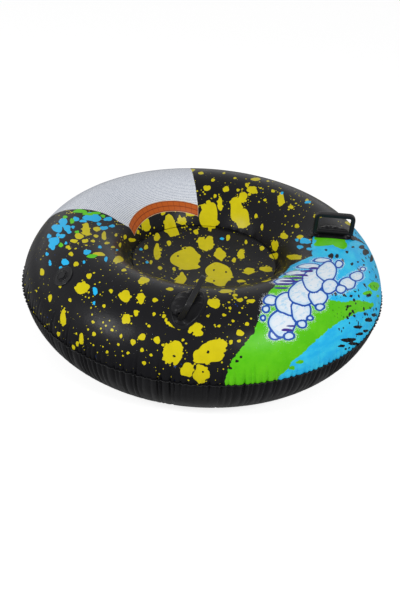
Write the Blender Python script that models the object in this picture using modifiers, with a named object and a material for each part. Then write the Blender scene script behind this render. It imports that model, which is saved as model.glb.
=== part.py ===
"""Snow tube: an inflated ring with a welded seat floor, two swinging handles and a push-in valve.

Metres, +Z up, origin on the ground at the centre of the ring, front of the tube toward -Y.
"""

import math

import bmesh
import bpy
from mathutils import Matrix, Vector

# Driving dimensions of the inflated ring
TUBE_CENTRE_RADIUS = 0.3295
TUBE_HALF_WIDTH = 0.1475
TUBE_HALF_HEIGHT = 0.1475
GROUND_SQUASH = 0.0015
SEAM_PINCH_SHARE = 1.16
RING_STEPS = 60
TOP_FILM_SEGMENTS = 16
BOTTOM_FILM_OUTER_SEGMENTS = 9
BOTTOM_FILM_INNER_SEGMENTS = 11

# Sheets and welds
TOP_FILM_THICKNESS = 0.0006
BOTTOM_FILM_THICKNESS = 0.0009
WELD_WIDTH = 0.0040
WELD_THICKNESS = 0.0016
INNER_WELD_WIDTH = 0.0080
INNER_WELD_THICKNESS = 0.0012
INNER_SEAM_HEIGHT = 0.1920

# Seat floor
FLOOR_THICKNESS = 0.0008
FLOOR_SAG = 0.0180
FLOOR_RINGS = 5

# Working clearance between neighbours
GAP = 0.0003
HALF_GAP = GAP / 2
MERGE_DISTANCE = 0.00001
CUT_OVERRUN = 0.0100

# Shading and laying
SHARP_ANGLE = math.radians(35.0)
LAYING_STEPS = 12

# Handles: places are angles from the front and section angles above the outer seam
LEFT_HANDLE_ANGLE = math.radians(47.0)
RIGHT_HANDLE_ANGLE = math.radians(-48.4)
LEFT_HANDLE_SECTION_TURN = math.radians(90.0)
RIGHT_HANDLE_SECTION_TURN = math.radians(75.0)
LEFT_HANDLE_YAW = math.radians(-3.0)
RIGHT_HANDLE_YAW = math.radians(15.0)
LEFT_HANDLE_LEAN = math.radians(8.0)
RIGHT_HANDLE_LEAN = math.radians(18.0)

# Handle loop
LOOP_WIDTH = 0.1050
LOOP_HEIGHT = 0.0580
LOOP_BAR_WIDTH = 0.0110
LOOP_DEPTH = 0.0130
LOOP_CORNER_RADIUS = 0.0170
LOOP_EDGE_ROUND = 0.0025
LOOP_CORNER_SEGMENTS = 7
PIVOT_BAR_RADIUS = 0.0050
KNUCKLE_RADIUS = 0.0068
ROUND_BAR_SIDES = 24

# Handle patch, a welded oval with a low mound under each foot of the loop
PATCH_HALF_LENGTH = 0.0660
PATCH_HALF_WIDTH = 0.0400
PATCH_THICKNESS = 0.0008
LEFT_PATCH_SHIFT = 0.0180
RIGHT_PATCH_SHIFT = 0.0020
PATCH_RINGS = 8
PATCH_STEPS = 36
MOUND_HALF_LENGTH = 0.0110
MOUND_HALF_WIDTH = 0.0200

# Handle strap, folded round the pivot bar and welded behind it
STRAP_THICKNESS = 0.0012
STRAP_END_CLEARANCE = 0.0035
STRAP_TAIL_LENGTH = 0.0370
STRAP_INNER_TAIL_LENGTH = 0.0290
STRAP_CROWN = 0.0060
STRAP_LEAVE_ANGLE = math.radians(62.0)
STRAP_SEGMENTS_ALONG = 6
STRAP_WRAP_SEGMENTS = 10
STRAP_TAIL_SEGMENTS = 5

# Valve
VALVE_ANGLE_FROM_FRONT = math.radians(-98.3)
VALVE_SECTION_TURN = math.radians(55.0)
FLANGE_RADIUS = 0.0270
FLANGE_THICKNESS = 0.0010
FLANGE_MIDDLE_RADIUS = 0.0180
STEM_RADIUS = 0.0090
STEM_BORE_RADIUS = 0.0066
STEM_LENGTH = 0.0240
STEM_LIP_RADIUS = 0.0125
STEM_LIP_THICKNESS = 0.0012
STEM_SLIDE_CLEARANCE = 0.0008
CAP_RADIUS = 0.0085
CAP_THICKNESS = 0.0013
PLUG_LENGTH = 0.0034
PLUG_TAPER = 0.0007
TETHER_WIDTH = 0.0040
TETHER_THICKNESS = 0.0006
TETHER_END_INSET = 0.0003
TETHER_LIFT_SHARE = 0.75
TAB_WIDTH = 0.0050
TAB_LENGTH = 0.0035
FLAP_RADIUS = 0.0080
FLAP_THICKNESS = 0.0010
VALVE_STEPS = 36

# Colours, roughness and metallic value of each material
BLACK_PRINT = ((0.012, 0.012, 0.014, 1.0), 0.32, 0.0)
BLACK_BASE = ((0.010, 0.010, 0.011, 1.0), 0.38, 0.0)
BLACK_WELD = ((0.008, 0.008, 0.009, 1.0), 0.45, 0.0)
BLACK_STRAP = ((0.014, 0.014, 0.015, 1.0), 0.42, 0.0)
BLACK_MOULDING = ((0.016, 0.016, 0.017, 1.0), 0.35, 0.0)

TUBE_CENTRE_HEIGHT = TUBE_HALF_HEIGHT - GROUND_SQUASH
OUTER_FILM_RADIUS = TUBE_CENTRE_RADIUS + TUBE_HALF_WIDTH
FRONT_ANGLE = -math.pi / 2
LOOP_LEG_CENTRE = (LOOP_WIDTH - LOOP_BAR_WIDTH) / 2
STRAP_HALF_LENGTH = LOOP_WIDTH / 2 - LOOP_BAR_WIDTH - STRAP_END_CLEARANCE
STRAP_WRAP_RADIUS = PIVOT_BAR_RADIUS + GAP + STRAP_THICKNESS / 2
PATCH_TOP = GAP + PATCH_THICKNESS
PIVOT_HEIGHT = PATCH_TOP + GAP + STRAP_THICKNESS / 2 + STRAP_WRAP_RADIUS


def clear_scene():
    for thing in list(bpy.data.objects):
        bpy.data.objects.remove(thing, do_unlink=True)


def make_collection(name):
    collection = bpy.data.collections.new(name)
    bpy.context.scene.collection.children.link(collection)
    return collection


def make_material(name, finish):
    colour, roughness, metallic = finish
    material = bpy.data.materials.new(name)
    material.use_nodes = True
    shader = material.node_tree.nodes["Principled BSDF"]
    shader.inputs["Base Color"].default_value = colour
    shader.inputs["Roughness"].default_value = roughness
    shader.inputs["Metallic"].default_value = metallic
    material.diffuse_color = colour
    return material


def add_part(name, mesh, finish):
    part = bpy.data.objects.new(name, mesh)
    PARTS.objects.link(part)
    part.data.materials.clear()
    part.data.materials.append(make_material(name + "_finish", finish))
    return part


def smooth(part):
    part.data.shade_smooth()
    part.data.set_sharp_from_angle(angle=SHARP_ANGLE)


# Section of the ring

def section_offset(turn):
    """Offset (radial, vertical) from the tube's centre line; turn 0 is the outer seam, 90 degrees the crest."""
    lift = math.copysign(abs(math.sin(turn)) ** SEAM_PINCH_SHARE, math.sin(turn))
    return TUBE_HALF_WIDTH * math.cos(turn), TUBE_HALF_HEIGHT * lift


def section_point(turn):
    """Radius and height of the film's outer face, flattened where the ring rests on the ground."""
    across, up = section_offset(turn)
    return TUBE_CENTRE_RADIUS + across, max(TUBE_CENTRE_HEIGHT + up, 0.0)


def turn_at_inner_height(height):
    """Section turn, on the side that faces the seat well, at a height above mid height."""
    lift = (height - TUBE_CENTRE_HEIGHT) / TUBE_HALF_HEIGHT
    return math.pi - math.copysign(math.asin(abs(lift) ** (1 / SEAM_PINCH_SHARE)), lift)


def well_radius(height):
    """Radius of the well's wall at a height."""
    return section_point(turn_at_inner_height(height))[0]


def turn_at_outer_height(height):
    lift = (height - TUBE_CENTRE_HEIGHT) / TUBE_HALF_HEIGHT
    return math.copysign(math.asin(abs(lift) ** (1 / SEAM_PINCH_SHARE)), lift)


def floor_height(radius):
    """Height of the seat floor's upper face, which sags toward the middle."""
    share = radius / well_radius(INNER_SEAM_HEIGHT)
    return INNER_SEAM_HEIGHT - FLOOR_SAG * (1 - share * share)


# Turned shapes

def profile_mesh(name, points, closed):
    """A mesh of edges in the XZ plane, from (radius, height) points."""
    mesh = bpy.data.meshes.new(name)
    shape = bmesh.new()
    corners = [shape.verts.new((radius, 0.0, height)) for radius, height in points]
    for first, second in zip(corners, corners[1:]):
        shape.edges.new((first, second))
    if closed:
        shape.edges.new((corners[-1], corners[0]))
    shape.to_mesh(mesh)
    shape.free()
    return mesh


def turn_profile(part, steps):
    screw = part.modifiers.new("Turn", "SCREW")
    screw.axis = "Z"
    screw.steps = steps
    screw.render_steps = steps
    screw.use_merge_vertices = True
    screw.merge_threshold = MERGE_DISTANCE


def turned_part(name, points, finish, steps, closed=True):
    part = add_part(name, profile_mesh(name, points, closed), finish)
    turn_profile(part, steps)
    return part


def freeze(part):
    """Replace a part's mesh by what its modifiers make of it."""
    bpy.context.view_layer.update()
    frozen = bpy.data.meshes.new_from_object(part.evaluated_get(bpy.context.evaluated_depsgraph_get()))
    part.modifiers.clear()
    part.data = frozen
    return part


def thicken(part, thickness, offset):
    solidify = part.modifiers.new("Thickness", "SOLIDIFY")
    solidify.thickness = thickness
    solidify.offset = offset
    solidify.use_even_offset = True


# Frames on the ring and sheets laid on it

def ring_frame(angle_from_front, section_turn, yaw=0.0):
    """Frame on the film: X inward along the section, Y round the ring away from the front, Z outward."""
    side = math.copysign(1.0, angle_from_front)
    angle = FRONT_ANGLE + angle_from_front
    radius, height = section_point(section_turn)
    outward = Vector((math.cos(angle), math.sin(angle), 0.0))
    inner_x, inner_z = section_tangent(section_turn)
    inward = (outward * inner_x + Vector((0.0, 0.0, inner_z))).normalized()
    around = Vector((-math.sin(angle), math.cos(angle), 0.0)) * side
    normal = around.cross(inward) * side
    along = inward * math.cos(yaw) - around * math.sin(yaw)
    across = inward * math.sin(yaw) + around * math.cos(yaw)
    place = outward * radius + Vector((0.0, 0.0, height))
    frame = Matrix((along, across, normal)).transposed().to_4x4()
    frame.translation = place
    return frame


def section_slope(turn):
    """Change of the section's (radial, vertical) offset for each radian of turn."""
    lift = SEAM_PINCH_SHARE * abs(math.sin(turn)) ** (SEAM_PINCH_SHARE - 1) * math.cos(turn)
    return -TUBE_HALF_WIDTH * math.sin(turn), TUBE_HALF_HEIGHT * lift


def film_speed(turn):
    """Film length for each radian of turn."""
    return math.hypot(*section_slope(turn))


def section_tangent(turn):
    """Direction of growing turn, as a unit (radial, vertical) pair."""
    slope_r, slope_z = section_slope(turn)
    return slope_r / film_speed(turn), slope_z / film_speed(turn)


class FilmPatch:
    """Lays flat coordinates on the ring, round a point of it, keeping lengths along the film."""

    def __init__(self, angle_from_front, section_turn, yaw=0.0):
        self.side = math.copysign(1.0, angle_from_front)
        self.angle = FRONT_ANGLE + angle_from_front
        self.turn = section_turn
        self.yaw = yaw

    def turn_after(self, length):
        """Section turn reached by going a length along the film, in small steps."""
        step = length / LAYING_STEPS
        turn = self.turn
        for _ in range(LAYING_STEPS):
            middle = turn + step / film_speed(turn) / 2
            turn += step / film_speed(middle)
        return turn

    def place(self, along, across, lift):
        """World point at (along, across) on the film, lifted off it."""
        inward = along * math.cos(self.yaw) + across * math.sin(self.yaw)
        around = across * math.cos(self.yaw) - along * math.sin(self.yaw)
        turn = self.turn_after(inward)
        radius, height = section_point(turn)
        angle = self.angle + self.side * around / radius
        slope_r, slope_z = section_tangent(turn)
        radius += lift * slope_z
        height -= lift * slope_r
        return Vector((radius * math.cos(angle), radius * math.sin(angle), height))


# The inflated ring and the seat floor

def film_points(first_turn, last_turn, segments):
    share = (last_turn - first_turn) / segments
    return [section_point(first_turn + share * index) for index in range(segments + 1)]


def build_top_film():
    inner_turn = turn_at_inner_height(INNER_SEAM_HEIGHT + HALF_GAP)
    outer_turn = turn_at_outer_height(TUBE_CENTRE_HEIGHT + HALF_GAP)
    points = film_points(inner_turn, outer_turn, TOP_FILM_SEGMENTS)
    film = turned_part("top_skin", points, BLACK_PRINT, RING_STEPS, closed=False)
    thicken(film, TOP_FILM_THICKNESS, -1)
    freeze(film)
    cutter = valve_cutter()
    cut = film.modifiers.new("Valve hole", "BOOLEAN")
    cut.operation = "DIFFERENCE"
    cut.solver = "EXACT"
    cut.object = cutter
    smooth(film)


def build_bottom_film():
    """The base sheet, with a flat band where it rests on the ground."""
    outer_turn = turn_at_outer_height(TUBE_CENTRE_HEIGHT - HALF_GAP)
    inner_turn = turn_at_inner_height(INNER_SEAM_HEIGHT - HALF_GAP) - 2 * math.pi
    outer_touch = turn_at_outer_height(0.0)
    inner_touch = turn_at_inner_height(0.0) - 2 * math.pi
    points = film_points(outer_turn, outer_touch, BOTTOM_FILM_OUTER_SEGMENTS)
    points += film_points(inner_touch, inner_turn, BOTTOM_FILM_INNER_SEGMENTS)
    film = turned_part("bottom_skin", points, BLACK_BASE, RING_STEPS, closed=False)
    thicken(film, BOTTOM_FILM_THICKNESS, -1)
    smooth(freeze(film))


def build_outer_weld():
    inner = OUTER_FILM_RADIUS + GAP
    outer = inner + WELD_WIDTH
    top = TUBE_CENTRE_HEIGHT + WELD_THICKNESS / 2
    bottom = TUBE_CENTRE_HEIGHT - WELD_THICKNESS / 2
    points = [(inner, top), (outer, top), (outer, bottom), (inner, bottom)]
    turned_part("outer_weld_seam", points, BLACK_WELD, RING_STEPS)


def build_inner_weld():
    """The margin where the floor and the base sheet are fused, under the rim of the floor."""
    under = floor_height(well_radius(INNER_SEAM_HEIGHT)) - FLOOR_THICKNESS - GAP
    base = under - INNER_WELD_THICKNESS
    outer = well_radius(base) - GAP
    inner = outer - INNER_WELD_WIDTH
    drop = floor_height(outer) - floor_height(inner)
    points = [(inner, under - drop), (outer, under), (outer, base), (inner, base - drop)]
    turned_part("inner_weld_seam", points, BLACK_WELD, RING_STEPS)


def build_seat_floor():
    rim = well_radius(INNER_SEAM_HEIGHT - FLOOR_THICKNESS) - GAP
    radii = [rim * index / FLOOR_RINGS for index in range(FLOOR_RINGS + 1)]
    top = [(radius, floor_height(radius)) for radius in radii]
    under = [(radius, floor_height(radius) - FLOOR_THICKNESS) for radius in reversed(radii)]
    floor = turned_part("seat_floor", top + under, BLACK_PRINT, RING_STEPS, closed=False)
    smooth(freeze(floor))


# Handles

def sheet_disc(name, radii, finish, steps):
    """A flat disc, or a washer, of rings from the smallest radius outward."""
    disc = turned_part(name, [(radius, 0.0) for radius in radii], finish, steps, closed=False)
    return freeze(disc)


def film_drop(distance):
    """How far the ring falls away from its tangent at a distance along the section."""
    return TUBE_HALF_HEIGHT - math.sqrt(TUBE_HALF_HEIGHT ** 2 - distance ** 2)


def mound_lift(along, across):
    """Lift of the patch under a foot of the loop, so that the foot stands just clear of it."""
    from_leg = abs(abs(along) - LOOP_LEG_CENTRE) / MOUND_HALF_LENGTH
    from_bar = abs(across) / MOUND_HALF_WIDTH
    if from_leg >= 1 or from_bar >= 1:
        return 0.0
    room = PIVOT_HEIGHT + film_drop(LOOP_LEG_CENTRE) - KNUCKLE_RADIUS - 2 * GAP
    peak = room - PATCH_TOP
    return peak * math.cos(from_leg * math.pi / 2) ** 2 * math.cos(from_bar * math.pi / 2) ** 2


def build_patch(name, film, shift):
    radii = [PATCH_HALF_LENGTH * index / PATCH_RINGS for index in range(PATCH_RINGS + 1)]
    patch = sheet_disc(name, radii, BLACK_STRAP, PATCH_STEPS)
    for vertex in patch.data.vertices:
        along = vertex.co.x
        across = vertex.co.y * PATCH_HALF_WIDTH / PATCH_HALF_LENGTH + shift
        vertex.co = film.place(along, across, GAP + mound_lift(along, across))
    patch.data.update()
    face_outward(patch)
    thicken(patch, PATCH_THICKNESS, 1)
    smooth(freeze(patch))


def face_outward(part):
    """Turn the faces of a laid sheet so that they look away from the ring."""
    face = part.data.polygons[0]
    radius = math.hypot(face.center.x, face.center.y)
    core = face.center.copy()
    core.x *= TUBE_CENTRE_RADIUS / radius
    core.y *= TUBE_CENTRE_RADIUS / radius
    core.z = TUBE_CENTRE_HEIGHT
    if face.normal.dot(face.center - core) < 0:
        part.data.flip_normals()


def strap_path():
    """Centre line of the folded strap: (across, height over the patch) points."""
    half = STRAP_THICKNESS / 2
    low = GAP + half
    centre = low + STRAP_WRAP_RADIUS
    points = []
    for index in range(STRAP_TAIL_SEGMENTS):
        share = 1 - index / STRAP_TAIL_SEGMENTS
        points.append((STRAP_INNER_TAIL_LENGTH * share, low))
    sweep = math.pi * 3 / 2 - STRAP_LEAVE_ANGLE
    for index in range(STRAP_WRAP_SEGMENTS + 1):
        angle = -math.pi / 2 - sweep * index / STRAP_WRAP_SEGMENTS
        points.append((STRAP_WRAP_RADIUS * math.cos(angle), centre + STRAP_WRAP_RADIUS * math.sin(angle)))
    start_across, start_height = points[-1]
    landing = low + STRAP_THICKNESS + GAP
    for index in range(1, STRAP_TAIL_SEGMENTS + 1):
        share = index / STRAP_TAIL_SEGMENTS
        across = start_across + (STRAP_INNER_TAIL_LENGTH - start_across) * share
        crown = STRAP_CROWN * math.sin(math.pi * share)
        height = start_height + (landing - start_height) * share + crown
        points.append((across, height))
    points.append((STRAP_TAIL_LENGTH, low))
    return points


def build_strap(name, film, frame):
    path = strap_path()
    mesh = bpy.data.meshes.new(name)
    shape = bmesh.new()
    rows = []
    for step in range(STRAP_SEGMENTS_ALONG + 1):
        along = STRAP_HALF_LENGTH * (2 * step / STRAP_SEGMENTS_ALONG - 1)
        row = []
        for across, height in path:
            straight = frame @ Vector((along, across, PATCH_TOP + height))
            laid = film.place(along, across, PATCH_TOP + height)
            past_bar = across - STRAP_WRAP_RADIUS - STRAP_THICKNESS
            settle = min(max(past_bar / (STRAP_INNER_TAIL_LENGTH - STRAP_WRAP_RADIUS), 0.0), 1.0)
            row.append(shape.verts.new(straight.lerp(laid, settle)))
        rows.append(row)
    for first, second in zip(rows, rows[1:]):
        for index in range(len(path) - 1):
            shape.faces.new((first[index], first[index + 1], second[index + 1], second[index]))
    shape.to_mesh(mesh)
    shape.free()
    strap = add_part(name, mesh, BLACK_STRAP)
    thicken(strap, STRAP_THICKNESS, 0)
    smooth(freeze(strap))


def arc(centre, radius, first, last, segments):
    """Points on an arc, as (x, y) pairs."""
    points = []
    for index in range(segments + 1):
        angle = first + (last - first) * index / segments
        points.append((centre[0] + radius * math.cos(angle), centre[1] + radius * math.sin(angle)))
    return points


def loop_outline():
    """Outline of the loop's two legs and grip, an arch that stands on the pivot axis."""
    half = LOOP_WIDTH / 2
    outer_radius = LOOP_CORNER_RADIUS
    inner_radius = LOOP_CORNER_RADIUS - LOOP_BAR_WIDTH
    corner_x = half - outer_radius
    corner_y = LOOP_HEIGHT - outer_radius
    inner = half - LOOP_BAR_WIDTH
    quarter = math.pi / 2
    points = [(half, 0.0)]
    points += arc((corner_x, corner_y), outer_radius, 0.0, quarter, LOOP_CORNER_SEGMENTS)
    points += arc((-corner_x, corner_y), outer_radius, quarter, math.pi, LOOP_CORNER_SEGMENTS)
    points += [(-half, 0.0), (-inner, 0.0)]
    points += arc((-corner_x, corner_y), inner_radius, math.pi, quarter, LOOP_CORNER_SEGMENTS)
    points += arc((corner_x, corner_y), inner_radius, quarter, 0.0, LOOP_CORNER_SEGMENTS)
    points += [(inner, 0.0)]
    return points


def extruded_outline(name, points, depth, edge_round):
    """A solid plate from an outline in the XY plane, its edges rounded by the curve's own bevel."""
    curve = bpy.data.curves.new(name, "CURVE")
    curve.dimensions = "2D"
    curve.fill_mode = "BOTH"
    curve.extrude = depth / 2 - edge_round
    curve.bevel_depth = edge_round
    curve.bevel_resolution = 1
    curve.offset = -edge_round
    spline = curve.splines.new("POLY")
    spline.points.add(len(points) - 1)
    for point, (x, y) in zip(spline.points, points):
        point.co = (x, y, 0.0, 1.0)
    spline.use_cyclic_u = True
    holder = bpy.data.objects.new(name, curve)
    bpy.context.scene.collection.objects.link(holder)
    bpy.context.view_layer.update()
    mesh = bpy.data.meshes.new_from_object(holder.evaluated_get(bpy.context.evaluated_depsgraph_get()))
    bpy.data.objects.remove(holder, do_unlink=True)
    shape = bmesh.new()
    shape.from_mesh(mesh)
    bmesh.ops.remove_doubles(shape, verts=shape.verts, dist=MERGE_DISTANCE)
    bmesh.ops.recalc_face_normals(shape, faces=shape.faces)
    shape.to_mesh(mesh)
    shape.free()
    return mesh


def round_bar(name, radius, length):
    """A cylinder along X."""
    mesh = bpy.data.meshes.new(name)
    shape = bmesh.new()
    bmesh.ops.create_cone(
        shape, cap_ends=True, segments=ROUND_BAR_SIDES, radius1=radius, radius2=radius, depth=length,
        matrix=Matrix.Rotation(math.pi / 2, 4, "Y"))
    shape.to_mesh(mesh)
    shape.free()
    return mesh


def add_cutter(name, mesh, matrix):
    cutter = bpy.data.objects.new(name, mesh)
    cutter.matrix_world = matrix
    cutter.hide_render = True
    cutter.display_type = "WIRE"
    CUTTERS.objects.link(cutter)
    return cutter


def join_solid(part, name, mesh, matrix):
    """Unite a part with another solid given in the part's own frame."""
    helper = add_cutter(name, mesh, part.matrix_world @ matrix)
    union = part.modifiers.new(name, "BOOLEAN")
    union.operation = "UNION"
    union.solver = "EXACT"
    union.object = helper


def build_loop(name, pivot):
    """The moulded loop: legs and grip in one arch, with a knuckle on each foot and the pivot bar."""
    mesh = extruded_outline(name, loop_outline(), LOOP_DEPTH, LOOP_EDGE_ROUND)
    mesh.transform(Matrix.Rotation(math.pi / 2, 4, "X"))
    loop = add_part(name, mesh, BLACK_MOULDING)
    loop.parent = pivot
    bpy.context.view_layer.update()
    for side in (-1, 1):
        knuckle = round_bar(name + "_knuckle", KNUCKLE_RADIUS, LOOP_BAR_WIDTH)
        join_solid(loop, name + "_knuckle", knuckle, Matrix.Translation((side * LOOP_LEG_CENTRE, 0.0, 0.0)))
    bar = round_bar(name + "_bar", PIVOT_BAR_RADIUS, 2 * LOOP_LEG_CENTRE)
    join_solid(loop, name + "_bar", bar, Matrix.Identity(4))
    smooth(loop)


def build_handle(side_name, angle_from_front, section_turn, yaw, lean, patch_shift):
    frame = ring_frame(angle_from_front, section_turn, yaw)
    film = FilmPatch(angle_from_front, section_turn, yaw)
    build_patch("handle_patch_" + side_name, film, patch_shift)
    build_strap("handle_strap_" + side_name, film, frame)
    pivot = bpy.data.objects.new("handle_pivot_" + side_name, None)
    PARTS.objects.link(pivot)
    right_handed = frame.copy()
    if frame.to_3x3().determinant() < 0:
        right_handed = frame @ Matrix.Diagonal((-1.0, 1.0, 1.0, 1.0))
    toward_front = Matrix.Rotation(lean, 4, "X")
    pivot.matrix_world = right_handed @ Matrix.Translation((0.0, 0.0, PIVOT_HEIGHT)) @ toward_front
    bpy.context.view_layer.update()
    build_loop("handle_loop_" + side_name, pivot)


# Valve

def valve_frame():
    frame = ring_frame(VALVE_ANGLE_FROM_FRONT, VALVE_SECTION_TURN)
    if frame.to_3x3().determinant() < 0:
        frame = frame @ Matrix.Diagonal((1.0, -1.0, 1.0, 1.0))
    return frame


def valve_cutter():
    """The round hole in the top sheet that the stem passes through."""
    mesh = bpy.data.meshes.new("valve_hole")
    shape = bmesh.new()
    radius = STEM_RADIUS + 2 * STEM_SLIDE_CLEARANCE
    bmesh.ops.create_cone(
        shape, cap_ends=True, segments=VALVE_STEPS, radius1=radius, radius2=radius, depth=2 * CUT_OVERRUN)
    shape.to_mesh(mesh)
    shape.free()
    return add_cutter("valve_hole", mesh, valve_frame())


def build_valve_flange():
    inner = STEM_RADIUS + STEM_SLIDE_CLEARANCE
    radii = [inner, FLANGE_MIDDLE_RADIUS, FLANGE_RADIUS]
    flange = sheet_disc("valve_flange", radii, BLACK_MOULDING, VALVE_STEPS)
    film = FilmPatch(VALVE_ANGLE_FROM_FRONT, VALVE_SECTION_TURN)
    for vertex in flange.data.vertices:
        vertex.co = film.place(vertex.co.x, vertex.co.y, GAP)
    flange.data.update()
    face_outward(flange)
    thicken(flange, FLANGE_THICKNESS, 1)
    smooth(freeze(flange))


def stem_lip_bottom():
    return GAP + FLANGE_THICKNESS + GAP


def stem_lip_top():
    return stem_lip_bottom() + STEM_LIP_THICKNESS


def build_valve_stem(frame):
    lip_bottom = stem_lip_bottom()
    lip_top = stem_lip_top()
    points = [
        (STEM_BORE_RADIUS, lip_top), (STEM_LIP_RADIUS, lip_top), (STEM_LIP_RADIUS, lip_bottom),
        (STEM_RADIUS, lip_bottom), (STEM_RADIUS, -STEM_LENGTH), (STEM_BORE_RADIUS, -STEM_LENGTH)]
    stem = turned_part("valve_stem", points, BLACK_MOULDING, VALVE_STEPS)
    freeze(stem)
    stem.matrix_world = frame
    smooth(stem)


def box_mesh(name, length, width, height):
    mesh = bpy.data.meshes.new(name)
    shape = bmesh.new()
    bmesh.ops.create_cube(shape, size=1.0, matrix=Matrix.Diagonal((length, width, height, 1.0)))
    shape.to_mesh(mesh)
    shape.free()
    return mesh


def build_valve_plug(frame):
    bottom = stem_lip_top() + GAP
    top = bottom + CAP_THICKNESS
    shank = STEM_BORE_RADIUS - GAP
    points = [
        (0.0, top), (CAP_RADIUS, top), (CAP_RADIUS, bottom), (shank, bottom),
        (shank - PLUG_TAPER, bottom - PLUG_LENGTH), (0.0, bottom - PLUG_LENGTH)]
    plug = turned_part("valve_plug", points, BLACK_MOULDING, VALVE_STEPS, closed=False)
    freeze(plug)
    plug.matrix_world = frame
    bpy.context.view_layer.update()
    tab_thickness = CAP_THICKNESS / 2
    tab = box_mesh("valve_tab", CAP_RADIUS + TAB_LENGTH, TAB_WIDTH, tab_thickness)
    tab_middle = (CAP_RADIUS + TAB_LENGTH) / 2
    join_solid(plug, "valve_tab", tab, Matrix.Translation((tab_middle, 0.0, bottom + tab_thickness)))
    tether_end = STEM_LIP_RADIUS - TETHER_END_INSET
    tether = box_mesh("valve_tether", tether_end, TETHER_WIDTH, TETHER_THICKNESS)
    tether_height = bottom + TETHER_THICKNESS * TETHER_LIFT_SHARE
    join_solid(plug, "valve_tether", tether, Matrix.Translation((-tether_end / 2, 0.0, tether_height)))
    smooth(plug)


def build_valve_flap(frame):
    top = -STEM_LENGTH - GAP
    bottom = top - FLAP_THICKNESS
    points = [(0.0, top), (FLAP_RADIUS, top), (FLAP_RADIUS, bottom), (0.0, bottom)]
    flap = turned_part("valve_flap", points, BLACK_MOULDING, VALVE_STEPS, closed=False)
    freeze(flap)
    flap.matrix_world = frame
    smooth(flap)


def build_valve():
    frame = valve_frame()
    build_valve_flange()
    build_valve_stem(frame)
    build_valve_plug(frame)
    build_valve_flap(frame)


clear_scene()
PARTS = make_collection("snow_tube")
CUTTERS = make_collection("cutters")
build_top_film()
build_bottom_film()
build_outer_weld()
build_inner_weld()
build_seat_floor()
build_handle(
    "left", LEFT_HANDLE_ANGLE, LEFT_HANDLE_SECTION_TURN, LEFT_HANDLE_YAW, LEFT_HANDLE_LEAN, LEFT_PATCH_SHIFT)
build_handle(
    "right", RIGHT_HANDLE_ANGLE, RIGHT_HANDLE_SECTION_TURN, RIGHT_HANDLE_YAW, RIGHT_HANDLE_LEAN,
    RIGHT_PATCH_SHIFT)
build_valve()
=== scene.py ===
"""Looks of the snow tube: printed vinyl skins with puckered seams, seat floor, welds, handles and valve.

Metres, +Z up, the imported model's frame. The front of the tube looks toward -Y.
"""

import math

import bmesh
import bpy
import numpy as np
from mathutils import Matrix, Vector
from mathutils.bvhtree import BVHTree


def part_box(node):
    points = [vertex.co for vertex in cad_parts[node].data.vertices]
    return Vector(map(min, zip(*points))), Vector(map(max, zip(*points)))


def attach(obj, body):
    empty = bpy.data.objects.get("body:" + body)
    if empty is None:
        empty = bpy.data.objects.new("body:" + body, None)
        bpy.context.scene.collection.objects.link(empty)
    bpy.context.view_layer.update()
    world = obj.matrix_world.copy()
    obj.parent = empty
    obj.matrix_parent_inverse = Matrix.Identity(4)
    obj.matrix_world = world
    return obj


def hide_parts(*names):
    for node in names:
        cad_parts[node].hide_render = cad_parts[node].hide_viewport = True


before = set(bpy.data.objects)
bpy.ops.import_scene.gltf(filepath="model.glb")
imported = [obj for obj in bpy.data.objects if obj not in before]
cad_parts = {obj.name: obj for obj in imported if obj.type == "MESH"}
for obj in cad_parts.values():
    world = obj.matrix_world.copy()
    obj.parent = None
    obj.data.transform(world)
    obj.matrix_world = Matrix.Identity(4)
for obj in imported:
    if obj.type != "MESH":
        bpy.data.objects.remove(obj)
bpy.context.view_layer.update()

FULL_TURN = 2 * math.pi

# Section of the ring, as the solids have it
TUBE_CENTRE_RADIUS = 0.3295
TUBE_HALF_WIDTH = 0.1475
TUBE_HALF_HEIGHT = 0.1475
TUBE_CENTRE_HEIGHT = 0.1460
SEAM_PINCH_SHARE = 1.16
INNER_SEAM_HEIGHT = 0.1920
FLOOR_SAG = 0.0180
TOP_THICKNESS = 0.0006
BOTTOM_THICKNESS = 0.0009
FLOOR_THICKNESS = 0.0008
GAP = 0.0003

# Fineness of the made meshes
RING_COLUMNS = 1800
TOP_ROWS = 230
BOTTOM_ROWS = 110
FLOOR_ROWS = 90
FLOOR_COLUMNS = 720

# Puckers at the outer seam
PUCKER_COUNT = 196
PUCKER_DEPTH_ABOVE = 0.0070
PUCKER_DEPTH_BELOW = 0.0100
PUCKER_REACH_ABOVE = 0.070
PUCKER_REACH_BELOW = 0.190
PUCKER_ROUNDNESS = 0.75
PUCKER_FALLING = 1.1
PUCKER_DEEPENING_LENGTH = 0.010
TUCK_COUNT = 330
TUCK_DEPTH = 0.0014
TUCK_REACH = 0.026
TUCK_ROUNDNESS = 0.9
SEAM_WAVE_HEIGHT = 0.0011
SEAM_WAVE_REACH = 0.012
SEAM_WAVE_CYCLES = (37, 61, 83, 29)
PUCKER_SEED = 11

# Creases of the well and the seat floor
WELL_CREASE_COUNT = 46
WELL_CREASE_DEPTH = 0.0016
WELL_CREASE_REACH = 0.040
WELL_CREASE_ROUNDNESS = 1.6
FLOOR_CREASE_COUNT = 34
FLOOR_CREASE_DEPTH = 0.0009
CREASE_SEED = 5
CREASE_JITTER = 0.36
GROUND_HEIGHT = 0.0005
FLOOR_CREASE_REACH_SHARE = 0.75
FLOOR_CREASE_ROUNDNESS = 1.3
FLOOR_RIM_FADE = 0.012
FLOOR_HOLE_SHARE = 0.004
# Seed, height and cycles
FLOOR_WAVES = (8, 0.0022, (2, 3, 5))

# The outer weld's rim: its share of the pull of the puckers and of the half thickness
WELD_RIM_PULL_SHARE = 0.9
WELD_RIM_HALF_SHARE = 0.6

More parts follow.
